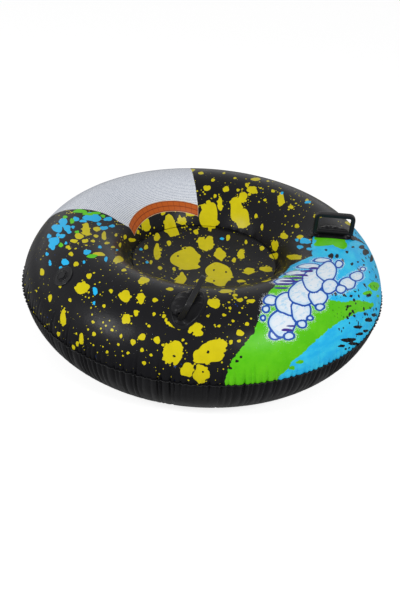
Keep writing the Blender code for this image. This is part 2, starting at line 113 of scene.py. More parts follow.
# Handles and valve, placed as the solids are: angle from the front, section turn and yaw in degrees
HANDLE_PLACES = {"left": (47.0, 90.0, -3.0), "right": (-48.4, 75.0, 15.0)}
PATCH_SHIFTS = {"left": 0.0180, "right": 0.0020}
LAYING_STEPS = 12
LOOP_LEG_CENTRE = 0.0470
PIVOT_BAR_RADIUS = 0.0050
KNUCKLE_RADIUS = 0.0068
MOUND_HALF_LENGTH = 0.0110
MOUND_HALF_WIDTH = 0.0200
PATCH_HALF_LENGTH = 0.0660
PATCH_HALF_WIDTH = 0.0400
PATCH_THICKNESS = 0.0008
PATCH_COLUMNS = 288
PATCH_RIBS = 96
FOLDS_PAST_BAR = 0.009
STRAP_THICKNESS = 0.0012
STRAP_HALF_LENGTH = 0.0380
STRAP_TAIL_LENGTH = 0.0370
STRAP_LEAVE_ANGLE = math.radians(62.0)
# The inner tail and the crown are the scene's own, a little off the solids'
STRAP_INNER_TAIL_LENGTH = 0.0240
STRAP_CROWN = 0.0068
VALVE_PLACE = (-98.3, 55.0, 0.0)
FLANGE_RADIUS = 0.0270
FLANGE_BORE_RADIUS = 0.0098
FLANGE_THICKNESS = 0.0010
FLANGE_COLUMNS = 240
FLANGE_RIBS = 60
VALVE_HOLE_SHARE = 0.24

# Relief of the patches, which goes by the share of the oval, and of the straps and the flange
# A fold set is count, length, width and height, and a bead is centre, width, height and power
# A pressed band is first edge, its ramp, last edge and its ramp
PATCH_FOLDS = (12, 0.034, 0.0028, 0.0011)
PATCH_FOLDS_END_SHARE = 0.80
PATCH_FOLDS_FADE_SHARE = 0.12
PATCH_FOLDS_START = 0.004
PATCH_BEAD = (0.825, 0.018, 0.0006, 2)
PATCH_PRESSED_BAND = (0.845, 0.02, 0.965, 0.015)
PATCH_PRESSED_DEPTH = 0.00030
PATCH_RIB_HEIGHT = 0.00016
PATCH_FILM_SHARE = 0.6
STRAP_FOLDS = (16, 0.052, 0.0030, 0.0019)
STRAP_FALL_POWER = 1.15
STRAP_CROWN_POWER = 0.9
STRAP_EDGE_POWER = 3.2
STRAP_LEAST_SHARE = 0.08
STRAP_SETTLE_START_SHARE = 0.04
STRAP_SETTLE_SHARE = 0.4
STRAP_LAID_START = 0.008
STRAP_LAID_RAMP = 0.030
STRAP_TAIL_ROWS = 12
STRAP_WRAP_ROWS = 30
STRAP_HOOD_ROWS = 60
STRAP_COLUMNS = 97
FLANGE_ROWS = 60
FLANGE_COLLAR = (0.0149, 0.0010, 0.0012, 4)
FLANGE_BEAD = (0.0258, 0.0008, 0.0006, 2)
FLANGE_PRESSED_BAND = (0.0185, 0.0006, 0.0245, 0.0006)
FLANGE_PRESSED_DEPTH = 0.00045
FLANGE_RIB_HEIGHT = 0.00030
FLANGE_FILM_SHARE = 0.5

# Camera, fitted to the photograph
CAMERA_PLACE = Vector((-1.4425, -1.4881, 1.4156))
CAMERA_RIGHT = Vector((0.71934, -0.69466, 0.0))
CAMERA_UP = Vector((0.37935, 0.39283, 0.83772))
CAMERA_BACK = Vector((-0.58193, -0.60261, 0.54610))
CAMERA_ROLL = -0.0690
SENSOR_WIDTH = 36.0
IMAGE_WIDTH = 400
IMAGE_HEIGHT = 600
FOCAL_PIXELS = 900.35

# Light
SKY_STRENGTH = 0.38
SOFTBOX_SIZE = 0.8
SOFTBOX_POWER = 33.0
LEFT_SOFTBOX_PLACE = (-2.45, 0.38, 1.45)
FRONT_SOFTBOX_PLACE = (-0.15, -2.35, 1.80)
SOFTBOX_TARGET = (0.0, 0.0, 0.2)

VINYL_IOR = 1.20
PLASTIC_IOR = 1.30

# Blobs of the print
SPLASH_RIM = 0.0048
BLOB_BLEND = 0.0024
LARGEST_STRETCH = 2.3
BLOB_REACH_OFF_PLANE = 0.030
FAR_OUTSIDE = -0.05
DROPS_FROM_BOX_AREA = 60
DOT_EDGE = 0.0002
INK_EDGE = 0.00025

# Where specks lie that no pixel table places: angles from the front and section turns, in degrees
FIRST_ANGLE = -40
FLOOR_TURN = 175.0
SPECK_CLEARANCES = {"zone": 0.012, "panel": 0.008, "band": 0.004}
SPECK_FIRST_TURN = 6
UNSEEN_ANGLES = (62, 214)
UNSEEN_LAST_TURN = 66
NEAR_WALL_ANGLE = -44
NEAR_WALL_HALF_SPAN = 62
NEAR_WALL_FIRST_TURN = 108
SEAM_SPECK_ANGLES = (2, 66)
SEAM_SPECK_LAST_TURN = 62
SEAM_SPECK_COUNT = 230
SEAM_SPECK_SEED = 24
SEAM_SPECK_SIZES = (0.0009, 0.0052)
SEAM_SPECK_CLEARANCE = 0.004
NEAR_WALL_CLEARANCE = 0.006
# Seed, count, and least and most radius
UNSEEN_SPECKS = (22, 60, (0.004, 0.019))
NEAR_WALL_SPECKS = (25, 34, (0.003, 0.015))

# Print colours, linear
BLACK = (0.0050, 0.0050, 0.0062)
YELLOW = (0.70, 0.60, 0.006)
CYAN = (0.020, 0.48, 0.88)
CYAN_BRUSHED = (0.045, 0.62, 0.90)
GREEN = (0.095, 0.54, 0.006)
GREEN_BRUSHED = (0.14, 0.62, 0.010)
DEEP_BLUE = (0.010, 0.045, 0.22)
ORANGE = (0.50, 0.105, 0.016)
ORANGE_LINE = (0.16, 0.022, 0.006)
BAND_EDGE = (0.66, 0.52, 0.36)
PANEL_GREY = (0.78, 0.81, 0.87)
PANEL_DARK = (0.36, 0.40, 0.49)
SPLASH_WHITE = (0.78, 0.84, 0.90)
SPLASH_SHADE = (0.30, 0.62, 0.88)
SPLASH_BLUE = (0.016, 0.085, 0.42)
SPLASH_PURPLE = (0.045, 0.022, 0.26)

# Plain colours and the stage's, linear
BASE_BLACK = (0.007, 0.007, 0.008)
SHEET_BLACK = (0.006, 0.006, 0.007)
VALVE_BLACK = (0.004, 0.004, 0.005)
WHITE = (1.0, 1.0, 1.0)
FLOOR_GREY = (0.45, 0.45, 0.45)
FLOOR_GLOW = 0.78
STAGE_SIZE = 14.0
STAGE_HEIGHT = -0.0005


# Camera and casting of photograph pixels onto the object

def camera_matrix():
    roll = Matrix.Rotation(-CAMERA_ROLL, 3, "Z")
    axes = Matrix((CAMERA_RIGHT, CAMERA_UP, CAMERA_BACK)).transposed() @ roll
    return Matrix.Translation(CAMERA_PLACE) @ axes.to_4x4()


def add_camera():
    lens = bpy.data.cameras.new("camera")
    lens.sensor_fit = "HORIZONTAL"
    lens.sensor_width = SENSOR_WIDTH
    lens.lens = FOCAL_PIXELS * SENSOR_WIDTH / IMAGE_WIDTH
    camera = bpy.data.objects.new("camera", lens)
    camera.matrix_world = camera_matrix()
    bpy.context.scene.collection.objects.link(camera)
    bpy.context.scene.camera = camera


def pixel_ray(x, y):
    """Unit direction of the ray through a pixel of the 400 by 600 photograph."""
    across = (x - IMAGE_WIDTH / 2) / FOCAL_PIXELS
    down = (y - IMAGE_HEIGHT / 2) / FOCAL_PIXELS
    return (camera_matrix().to_3x3() @ Vector((across, -down, -1.0))).normalized()


# Section of the ring

def signed_power(values, power):
    return np.sign(values) * np.abs(values) ** power


def section_places(turns):
    """Radius and height of the outer face at section turns in radians, 0 at the outer seam."""
    radius = TUBE_CENTRE_RADIUS + TUBE_HALF_WIDTH * np.cos(turns)
    height = TUBE_CENTRE_HEIGHT + TUBE_HALF_HEIGHT * signed_power(np.sin(turns), SEAM_PINCH_SHARE)
    return radius, np.maximum(height, 0.0)


def outer_turn(height):
    """Section turn on the outer side at a height."""
    lift = (height - TUBE_CENTRE_HEIGHT) / TUBE_HALF_HEIGHT
    return math.copysign(math.asin(abs(lift) ** (1 / SEAM_PINCH_SHARE)), lift)


def inner_turn(height):
    """Section turn on the well's side at a height."""
    return math.pi - outer_turn(height)


def well_radius(height):
    return float(section_places(np.array([inner_turn(height)]))[0][0])


def film_length(turns):
    """Length along the film from the first section turn to each of them."""
    radius, height = section_places(turns)
    return np.concatenate([[0.0], np.cumsum(np.hypot(np.diff(radius), np.diff(height)))])


def even_turns(first, last, rows):
    """Section turns from first to last that are evenly spaced along the film."""
    fine = np.linspace(first, last, 4000)
    length = film_length(fine)
    return np.interp(np.linspace(0.0, length[-1], rows), length, fine)


def column_angles(columns):
    """Angles from the front, in radians, counter-clockwise seen from above."""
    return np.arange(columns) / columns * FULL_TURN - math.pi


def turned_points(angles, radius, height):
    """World points of a grid of (row, column) from angle from the front, radius and height."""
    world = angles - math.pi / 2
    return np.stack([radius * np.cos(world), radius * np.sin(world), height], axis=-1)


# Puckers and creases

def crease_set(count, seed):
    """Sorted crease angles, with each one's depth share and reach share."""
    random = np.random.default_rng(seed)
    shifts = random.uniform(-CREASE_JITTER, CREASE_JITTER, count)
    places = (np.arange(count) + shifts) * (FULL_TURN / count) - math.pi
    depth = random.uniform(0.35, 1.0, count)
    reach = random.uniform(0.35, 1.0, count) ** 1.3
    return places, depth, reach


def crease_depth(creases, angles, distance, reach, roundness, falling=1.6):
    """Depth share at each point of a grid, for creases that run away from a seam and die out."""
    places, depth, reaches = creases
    wrapped = np.concatenate([places[-1:] - FULL_TURN, places, places[:1] + FULL_TURN])
    depth = np.concatenate([depth[-1:], depth, depth[:1]])
    reaches = np.concatenate([reaches[-1:], reaches, reaches[:1]])
    left = np.clip(np.searchsorted(wrapped, angles) - 1, 0, len(wrapped) - 2)
    share = (angles - wrapped[left]) / (wrapped[left + 1] - wrapped[left])
    fold = 1 - np.sin(math.pi * np.clip(share, 0, 1)) ** roundness

    def fade(index):
        along = np.clip(distance / (reach * reaches[index]), 0, 1)
        return depth[index] * (1 - along) ** falling
    return fold * (fade(left) * (1 - share) + fade(left + 1) * share)


def soft_waves(angles, seed, amplitude, cycles):
    """Smooth random waves round the ring."""
    random = np.random.default_rng(seed)
    total = np.zeros_like(angles)
    for cycle in cycles:
        total += np.cos(cycle * angles + random.uniform(0, FULL_TURN)) / len(cycles)
    return amplitude * total


PUCKERS = crease_set(PUCKER_COUNT, PUCKER_SEED)
TUCKS = crease_set(TUCK_COUNT, PUCKER_SEED + 2)
WELL_CREASES = crease_set(WELL_CREASE_COUNT, CREASE_SEED)


def section_normals(turns):
    """Outward unit normals (radial, vertical) at section turns."""
    step = 0.002
    slope_r, slope_z = np.subtract(section_places(turns + step), section_places(turns - step))
    length = np.hypot(slope_r, slope_z)
    return slope_z / length, -slope_r / length


def seam_height_wave(angles):
    return soft_waves(angles, PUCKER_SEED + 1, SEAM_WAVE_HEIGHT, SEAM_WAVE_CYCLES)


def seam_pull(angles, distance, reach, deepest):
    """How far puckers and tucks pull the film in, at a distance from the outer seam."""
    fold = crease_depth(PUCKERS, angles, distance, reach, PUCKER_ROUNDNESS, PUCKER_FALLING) * deepest
    return fold + crease_depth(TUCKS, angles, distance, TUCK_REACH, TUCK_ROUNDNESS) * TUCK_DEPTH


def ring_grid(turns, columns, above):
    """Grids of one skin: points before and after puckering, angles, and section turns."""
    grid_angles, grid_turns = np.meshgrid(column_angles(columns), turns)
    radius, height = section_places(grid_turns)
    smooth = turned_points(grid_angles, radius, height)
    length = film_length(turns)
    from_outer = (length[-1] - length if above else length)[:, None]
    from_inner = (length if above else length[-1] - length)[:, None]
    reach = PUCKER_REACH_ABOVE if above else PUCKER_REACH_BELOW
    extra = 0.0 if above else PUCKER_DEPTH_BELOW - PUCKER_DEPTH_ABOVE
    deepest = PUCKER_DEPTH_ABOVE + extra * (1 - np.exp(-from_outer / PUCKER_DEEPENING_LENGTH))
    fold = seam_pull(grid_angles, from_outer, reach, deepest)
    soft = crease_depth(WELL_CREASES, grid_angles, from_inner, WELL_CREASE_REACH, WELL_CREASE_ROUNDNESS)
    shift = np.where(height <= GROUND_HEIGHT, 0.0, -(fold + soft * WELL_CREASE_DEPTH))
    normal_r, normal_z = section_normals(turns)
    radius = radius + shift * normal_r[:, None]
    height = height + shift * normal_z[:, None]
    height = height + seam_height_wave(grid_angles) * np.exp(-from_outer / SEAM_WAVE_REACH)
    return smooth, turned_points(grid_angles, radius, np.maximum(height, 0.0)), grid_angles, grid_turns


# Meshes

def grid_faces(rows, columns, closed_around=True, flip=False):
    """Quads, as vertex indices, of a grid that closes on itself round the ring."""
    index = np.arange(rows * columns).reshape(rows, columns)
    after = np.roll(index, -1, axis=1)
    if not closed_around:
        index, after = index[:, :-1], after[:, :-1]
    corners = [index[:-1], after[:-1], after[1:], index[1:]]
    if flip:
        corners.reverse()
    return np.stack(corners, axis=-1).reshape(-1, 4)


def grid_mesh(name, points, closed_around=True, flip=False):
    """A mesh of quads from a (row, column, 3) grid."""
    rows, columns = points.shape[:2]
    faces = grid_faces(rows, columns, closed_around, flip)
    mesh = bpy.data.meshes.new(name)
    mesh.vertices.add(rows * columns)
    mesh.vertices.foreach_set("co", points.reshape(-1))
    mesh.loops.add(faces.size)
    mesh.loops.foreach_set("vertex_index", faces.reshape(-1).astype(np.int32))
    mesh.polygons.add(len(faces))
    mesh.polygons.foreach_set("loop_start", np.arange(0, faces.size, 4, dtype=np.int32))
    mesh.update(calc_edges=True)
    mesh.validate()
    mesh.shade_smooth()
    return mesh


def edit_mesh(mesh, change):
    """Edits a mesh by a change, which is a function of its bmesh."""
    shape = bmesh.new()
    shape.from_mesh(mesh)
    change(shape)
    shape.to_mesh(mesh)
    shape.free()


def add_piece(mesh, node, material, thickness=0.0, offset=-1):
    """A piece, named as its mesh, that rides the tube in the place of a node."""
    piece = bpy.data.objects.new(mesh.name, mesh)
    bpy.context.scene.collection.objects.link(piece)
    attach(piece, "tube")
    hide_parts(node)
    if thickness:
        solidify = piece.modifiers.new("Thickness", "SOLIDIFY")
        solidify.thickness = thickness
        solidify.offset = offset
    mesh.materials.append(material)


# Where the print lies

class Caster:
    """Casts pixels of the photograph onto the smooth ring and seat floor."""

    def __init__(self, *grids):
        points = []
        faces = []
        for grid in grids:
            faces.extend(map(tuple, (grid_faces(*grid.shape[:2]) + len(points)).tolist()))
            points.extend(map(tuple, grid.reshape(-1, 3)))
        self.tree = BVHTree.FromPolygons(points, faces)

    def hit(self, x, y):
        """Point and camera-side normal where the pixel's ray meets the object, or None."""
        place, normal, _, _ = self.tree.ray_cast(CAMERA_PLACE, pixel_ray(x, y))
        if place is None:
            return None
        if normal.dot(CAMERA_PLACE - place) < 0:
            normal = -normal
        return place, normal

    def half_axes(self, x, y, width, height):
        """Centre, normal and the two half axes of a flat shape that fills a box of pixels."""
        found = self.hit(x, y)
        if found is None:
            raise ValueError(f"pixel {x}, {y} misses the object")
        place, normal = found

        def on_plane(px, py):
            ray = pixel_ray(px, py)
            return CAMERA_PLACE + ray * ((place - CAMERA_PLACE).dot(normal) / ray.dot(normal))
        across = (on_plane(x + width / 2, y) - on_plane(x - width / 2, y)) / 2
        up = (on_plane(x, y - height / 2) - on_plane(x, y + height / 2)) / 2
        pixel = (place - CAMERA_PLACE).length / FOCAL_PIXELS
        for axis, extent in ((across, width), (up, height)):
            longest = LARGEST_STRETCH * pixel * extent / 2
            if axis.length > longest:
                axis *= longest / axis.length
        return place, normal, across, up

    def ring_place(self, x, y):
        """Angle from the front and section turn, in degrees, of the pixel's place on the ring."""
        place = self.hit(x, y)[0]
        angle = math.degrees(math.atan2(place.x, -place.y))
        lift = (place.z - TUBE_CENTRE_HEIGHT) / TUBE_HALF_HEIGHT
        sine = math.copysign(min(abs(lift), 1.0) ** (1 / SEAM_PINCH_SHARE), lift)
        cosine = (math.hypot(place.x, place.y) - TUBE_CENTRE_RADIUS) / TUBE_HALF_WIDTH
        return angle, math.degrees(math.atan2(sine, cosine))


# Splatter of the print, as (x, y, width, height) in pixels of the photograph
YELLOW_BLOBS = [
    (170, 228, 12, 25), (209, 216, 17, 28), (236, 209, 13, 22), (243, 219, 13, 19), (220, 204, 5, 13),
    (182, 221, 8, 8), (191, 211, 10, 11), (243, 197, 8, 10), (252, 190, 10, 7), (247, 185, 4, 4),
    (226, 189, 6, 6), (207, 188, 7, 6), (201, 173, 5, 3), (192, 170, 6, 4), (213, 180, 4, 3),
    (215, 196, 3, 4), (256, 179, 9, 4), (186, 259, 26, 24), (219, 274, 26, 22), (202, 243, 9, 11),
    (209, 243, 10, 12), (205, 248, 8, 6), (220, 254, 10, 12), (241, 254, 7, 9), (181, 280, 11, 9),
    (182, 276, 6, 7),
    (144, 280, 10, 7), (157, 252, 7, 15), (146, 225, 9, 12), (157, 237, 6, 8), (146, 247, 4, 5),
    (262, 227, 3, 6), (262, 248, 5, 4), (275, 246, 6, 11), (284, 236, 8, 6), (300, 237, 7, 4),
    (297, 226, 5, 4), (294, 257, 15, 6), (275, 256, 6, 7), (266, 269, 13, 5), (249, 271, 11, 6),
    (226, 291, 14, 4), (241, 281, 8, 3), (82, 288, 13, 12), (125, 296, 12, 11), (141, 298, 8, 10),
    (126, 319, 8, 10), (136, 313, 5, 6), (63, 318, 6, 15), (214, 303, 12, 10), (155, 300, 6, 4),
    (164, 316, 4, 4), (166, 320, 3, 4), (168, 323, 4, 3), (171, 325, 5, 3), (175, 327, 5, 2),
    (179, 329, 4, 2), (195, 327, 13, 9), (198, 332, 9, 9), (211, 352, 28, 22), (201, 357, 16, 14),
    (219, 345, 14, 12), (172, 354, 18, 20), (176, 348, 14, 12), (187, 370, 13, 13), (201, 374, 15, 17),
    (157, 340, 6, 8), (142, 337, 7, 7), (133, 342, 5, 6), (142, 350, 4, 4), (151, 355, 3, 3),
    (144, 363, 4, 4), (81, 339, 5, 11), (77, 344, 3, 5), (240, 333, 8, 6), (239, 341, 4, 3),
    (231, 342, 4, 4), (240, 300, 6, 4), (251, 301, 8, 4), (235, 295, 5, 3), (247, 324, 4, 4),
    (119, 259, 9, 11), (86, 229, 8, 11), (79, 236, 9, 6), (74, 241, 7, 4), (88, 234, 6, 3),
    (68, 247, 5, 3), (96, 236, 5, 3), (93, 241, 4, 3), (107, 243, 5, 3), (120, 245, 3, 5),
    (125, 237, 3, 5), (138, 232, 3, 4), (116, 235, 3, 3), (85, 241, 6, 4), (132, 240, 7, 4),
    (50, 298, 4, 7), (42, 272, 4, 8), (111, 291, 4, 4), (124, 270, 5, 3), (89, 276, 5, 6),
    (76, 264, 5, 5), (71, 254, 5, 4), (104, 236, 5, 8), (97, 229, 7, 5), (113, 247, 4, 3),
    (99, 254, 12, 4), (131, 212, 5, 6), (150, 214, 6, 5), (163, 213, 5, 4), (169, 243, 4, 6),
    (196, 232, 5, 5), (210, 229, 4, 5), (228, 238, 4, 6), (234, 260, 4, 5), (198, 281, 4, 4),
    (170, 289, 8, 3), (160, 268, 4, 4), (151, 262, 3, 4), (174, 269, 3, 4), (246, 242, 3, 4),
    (256, 216, 3, 5), (265, 200, 3, 3), (273, 191, 4, 3), (281, 199, 6, 14), (291, 207, 5, 4),
    (307, 200, 3, 3), (318, 216, 9, 4), (268, 181, 3, 2), (235, 178, 3, 2), (224, 173, 3, 2),
    (238, 190, 3, 3), (60, 286, 3, 4), (70, 300, 3, 4), (104, 306, 3, 4), (93, 322, 3, 3),
    (112, 330, 3, 3), (121, 336, 3, 4), (94, 334, 4, 4), (58, 334, 3, 5), (73, 348, 4, 6),
    (107, 352, 3, 3), (128, 353, 3, 3), (163, 345, 3, 3), (183, 340, 3, 3), (219, 326, 3, 3),
    (224, 315, 4, 3), (230, 308, 3, 3), (208, 316, 3, 3), (202, 311, 3, 3), (154, 314, 3, 4),
    (149, 326, 3, 3), (233, 321, 3, 3)]
CYAN_BLOBS = [
    (92, 217, 18, 9), (63, 222, 9, 8), (57, 228, 11, 8), (67, 228, 8, 6), (54, 241, 10, 9),
    (52, 246, 7, 7), (95, 291, 5, 8), (65, 262, 7, 7), (87, 252, 8, 5), (94, 303, 3, 4), (106, 259, 3, 6),
    (108, 219, 9, 4), (76, 219, 6, 5), (104, 228, 8, 4), (62, 236, 7, 4), (305, 241, 11, 6),
    (300, 247, 6, 4), (297, 240, 4, 3), (282, 193, 3, 3), (308, 202, 6, 3), (222, 239, 4, 3),
    (141, 249, 3, 3), (147, 262, 3, 3), (50, 263, 3, 6), (84, 262, 3, 3), (100, 247, 4, 3),
    (117, 250, 3, 3), (69, 232, 5, 3), (73, 227, 4, 3), (58, 235, 4, 4), (83, 221, 7, 3), (99, 224, 5, 3),
    (112, 226, 6, 3), (49, 236, 4, 5), (66, 243, 3, 3), (47, 254, 3, 4), (61, 268, 4, 4), (310, 249, 7, 3)]
GREEN_BLOBS = [
    (80, 211, 13, 4), (88, 214, 10, 3), (330, 240, 32, 11), (322, 238, 16, 7), (341, 245, 14, 7),
    (72, 221, 4, 6), (77, 232, 4, 3), (96, 213, 9, 3), (65, 217, 5, 3), (103, 216, 5, 3),
    (92, 256, 10, 4), (375, 286, 16, 8), (368, 293, 9, 5), (300, 362, 8, 4), (292, 368, 7, 4),
    (378, 296, 5, 3), (61, 245, 4, 5)]
DARK_BLOBS = [
    (331, 256, 5, 6), (337, 256, 4, 4), (342, 263, 4, 9), (339, 262, 6, 3), (366, 252, 8, 7),
    (372, 258, 8, 9), (362, 247, 7, 4), (369, 320, 9, 4), (374, 315, 6, 4), (358, 327, 10, 3),
    (349, 340, 16, 4), (355, 344, 12, 3), (342, 346, 7, 3), (351, 296, 3, 3), (354, 300, 3, 3),
    (370, 295, 3, 3), (365, 314, 3, 3), (350, 306, 3, 2), (352, 264, 3, 3), (358, 262, 2, 2),
    (364, 265, 2, 2), (347, 252, 3, 3), (353, 247, 3, 2), (376, 277, 3, 3), (346, 349, 2, 2),
    (237, 361, 4, 3), (241, 357, 3, 3), (230, 368, 4, 3), (185, 248, 2, 2), (178, 256, 2, 2),
    (196, 250, 2, 2), (214, 270, 2, 2), (226, 272, 2, 2), (208, 352, 3, 3), (174, 356, 3, 3),
    (203, 372, 2, 2), (214, 281, 2, 2), (326, 250, 3, 2), (360, 334, 7, 3), (366, 331, 6, 3)]
SPLASH_BLOBS = [
    (296, 273, 22, 5), (309, 266, 20, 5), (284, 281, 18, 6), (322, 260, 14, 4), (271, 300, 12, 9),
    (276, 334, 12, 9), (283, 322, 25, 27), (288, 303, 22, 22), (301, 311, 19, 20), (303, 292, 25, 25),
    (318, 297, 17, 15), (315, 279, 23, 22), (327, 271, 18, 18), (330, 286, 14, 13), (289, 336, 8, 6),
    (348, 283, 15, 10), (357, 276, 12, 8), (341, 289, 8, 7), (266, 309, 5, 5), (302, 324, 7, 6),
    (339, 264, 6, 6), (320, 307, 7, 5), (263, 318, 3, 3), (310, 318, 4, 3), (363, 269, 4, 3)]
PURPLE_BLOBS = [
    (284, 284, 20, 2), (289, 281, 20, 2), (294, 278, 20, 2), (300, 275, 18, 2), (281, 288, 14, 2),
    (287, 330, 12, 3), (291, 326, 9, 2), (307, 271, 14, 2), (314, 268, 10, 2)]

# Corners of the coloured zone, in pixels of the photograph, then in degrees past the right edge
ZONE_LEFT_PIXELS = [
    (313, 236), (311, 246), (312, 256), (290, 266), (279, 277), (271, 292), (265, 306), (260, 322),
    (255, 335), (243, 350), (235, 360), (231, 370), (227, 385)]
ZONE_HIDDEN_DEGREES = [(-34.0, -3.0), (15.0, -3.0), (66.0, -3.0), (60.0, 25.0), (64.0, 48.0), (51.0, 70.0)]
ZONE_TOP_PIXELS = [(366, 245), (352, 240), (340, 236)]
GREEN_LEFT_PIXELS = [(296, 270), (285, 276)] + ZONE_LEFT_PIXELS[5:]
GREEN_SEAM_DEGREES = [(-34.0, -3.0), (-21.5, -3.0)]
GREEN_RIGHT_PIXELS = [
    (277, 376), (285, 370), (290, 360), (300, 353), (310, 343), (327, 328), (340, 319), (356, 311),
    (373, 305), (357, 302), (342, 304), (326, 300), (312, 284)]

# The grey panel and the orange band on its lower edge: angle from the front and section turn, in degrees
PANEL_RIGHT_DEGREES = [(145.2, 14.0), (145.2, 79.0), (145.0, 102.0), (144.0, 127.0), (143.4, 138.0)]
PANEL_LEFT_DEGREES = [
    (207.6, 138.0), (209.5, 135.0), (212.9, 126.0), (214.5, 113.0), (216.1, 102.0), (217.0, 92.0),
    (217.6, 80.0), (217.3, 73.0), (216.0, 52.0), (213.0, 14.0)]
BAND_FIRST_ANGLE = 143.2
BAND_LAST_ANGLE = 207.5
BAND_END_TURN = 136.5
BAND_MIDDLE_TURN = 128.0
BAND_WIDTH_TURNS = 12.0
BAND_DIVIDER_PITCH = 4.3


def blob_fields(points, blobs, caster, seed, lobes=0.09, drops=False, rim=None):
    """Signed distance, in metres and positive inside, of lobed paint blobs placed by pixels.

    With drops, small drops lie round each big blob. With a rim, a later blob covers those under it.
    """
    random = np.random.default_rng(seed)
    field = np.full(len(points), FAR_OUTSIDE)

    def toward_edge():
        turn = random.uniform(0, FULL_TURN)
        return across * math.cos(turn) + up * math.sin(turn)

    for x, y, width, height in blobs:
        place, normal, across, up = caster.half_axes(x, y, width, height)
        lay_blob(points, field, place, normal, across, up, random, lobes, rim)
        if drops and width * height > DROPS_FROM_BOX_AREA:
            size = math.sqrt(across.length * up.length)
            flat = across.normalized(), up.normalized()
            for _ in range(random.integers(4, 10)):
                spot = place + toward_edge() * random.uniform(0.86, 1.02)
                bump = size * random.uniform(0.10, 0.27)
                lay_blob(points, field, spot, normal, flat[0] * bump, flat[1] * bump, random, lobes)
            for _ in range(random.integers(3, 9)):
                spot = place + toward_edge() * random.uniform(1.12, 1.75)
                drop = random.uniform(0.0007, 0.0022)
                wide = flat[0] * drop * random.uniform(0.7, 1.3)
                lay_blob(points, field, spot, normal, wide, flat[1] * drop, random, lobes)
    return field


def lay_blob(points, field, place, normal, across, up, random, lobes, rim=None):
    """Adds one lobed blob with the given half axes to a field, in place."""
    phases = random.uniform(0, FULL_TURN, 4)
    reach = 2.2 * max(across.length, up.length) + 0.006
    offset = points - np.array(place)
    near = np.flatnonzero((offset ** 2).sum(axis=1) < reach ** 2)
    if len(near) == 0:
        return
    offset = offset[near]
    basis = np.array([across, up])
    dual = np.linalg.inv(basis @ basis.T) @ basis
    local = offset @ dual.T
    off_plane = np.abs(offset @ np.array(normal))
    length = np.hypot(local[:, 0], local[:, 1])
    angle = np.arctan2(local[:, 1], local[:, 0])
    edge = 1 + lobes * (
        np.cos(2 * angle + phases[0]) + 0.9 * np.cos(3 * angle + phases[1])
        + 0.45 * np.cos(4 * angle + phases[2]) + 0.25 * np.cos(6 * angle + phases[3]))
    size = math.sqrt(across.length * up.length)
    inside = (edge - length) * size
    inside = np.where(off_plane < BLOB_REACH_OFF_PLANE, inside, FAR_OUTSIDE)
    if rim is None:
        shared = np.clip(1 - np.abs(field[near] - inside) / BLOB_BLEND, 0, 1)
        field[near] = np.maximum(field[near], inside) + shared ** 2 * BLOB_BLEND / 4
    else:
        field[near] = np.where(inside > -rim, inside, np.maximum(field[near], inside))


def polygon_field(angles, turns, corners):
    """Signed distance in metres, positive inside, of a polygon in (angle, turn) degrees on the ring."""
    scale = np.array([math.radians(1.0) * TUBE_CENTRE_RADIUS, math.radians(1.0) * TUBE_HALF_WIDTH])
    points = np.stack([angles, turns], axis=-1) * scale
    corners = np.array(corners) * scale
    nearest = np.full(len(points), np.inf)
    inside = np.zeros(len(points), bool)
    for start, end in zip(corners, np.roll(corners, -1, axis=0)):
        edge = end - start
        share = np.clip(((points - start) @ edge) / (edge @ edge), 0, 1)
        nearest = np.minimum(nearest, np.linalg.norm(points - start - share[:, None] * edge, axis=1))
        crosses = (start[1] > points[:, 1]) != (end[1] > points[:, 1])
        rise = end[1] - start[1] if end[1] != start[1] else 1.0
        meets = start[0] + (points[:, 1] - start[1]) / rise * edge[0]
        inside ^= crosses & (points[:, 0] < meets)
    return np.where(inside, nearest, -nearest)


def speck_field(points, normals, seed, count, sizes, keep):
    """Small round specks scattered over the part of a surface that keep picks."""
    random = np.random.default_rng(seed)
    field = np.full(len(points), FAR_OUTSIDE)
    allowed = np.flatnonzero(keep)
    if len(allowed) == 0:
        return field
    for index in random.choice(allowed, count):
        normal = Vector(normals[index])
        across = normal.orthogonal().normalized()
        across.rotate(Matrix.Rotation(random.uniform(0, FULL_TURN), 3, normal))
        up = normal.cross(across)
        radius = sizes[0] + (sizes[1] - sizes[0]) * random.uniform(0, 1) ** 2.2
        stretch = random.uniform(0.65, 1.5)
        sides = across * radius * stretch, up * radius / stretch
        lay_blob(points, field, Vector(points[index]), normal, *sides, random, 0.10)
    return field


def band_fields(angles, turns):
    """Signed distance of the orange band, and its coordinate across from 0 at the top to 1."""
    share = (angles - BAND_FIRST_ANGLE) / (BAND_LAST_ANGLE - BAND_FIRST_ANGLE)
    bow = 1 - (2 * np.clip(share, 0, 1) - 1) ** 2
    top = BAND_END_TURN + (BAND_MIDDLE_TURN - BAND_END_TURN) * bow
    across = (turns - top) / BAND_WIDTH_TURNS
    to_edge = np.minimum(across, 1 - across) * BAND_WIDTH_TURNS * math.radians(1) * TUBE_HALF_WIDTH
    to_end = np.minimum(share, 1 - share) * (BAND_LAST_ANGLE - BAND_FIRST_ANGLE)
    to_end = to_end * math.radians(1) * TUBE_CENTRE_RADIUS * 0.8
    return np.minimum(to_edge, to_end), across


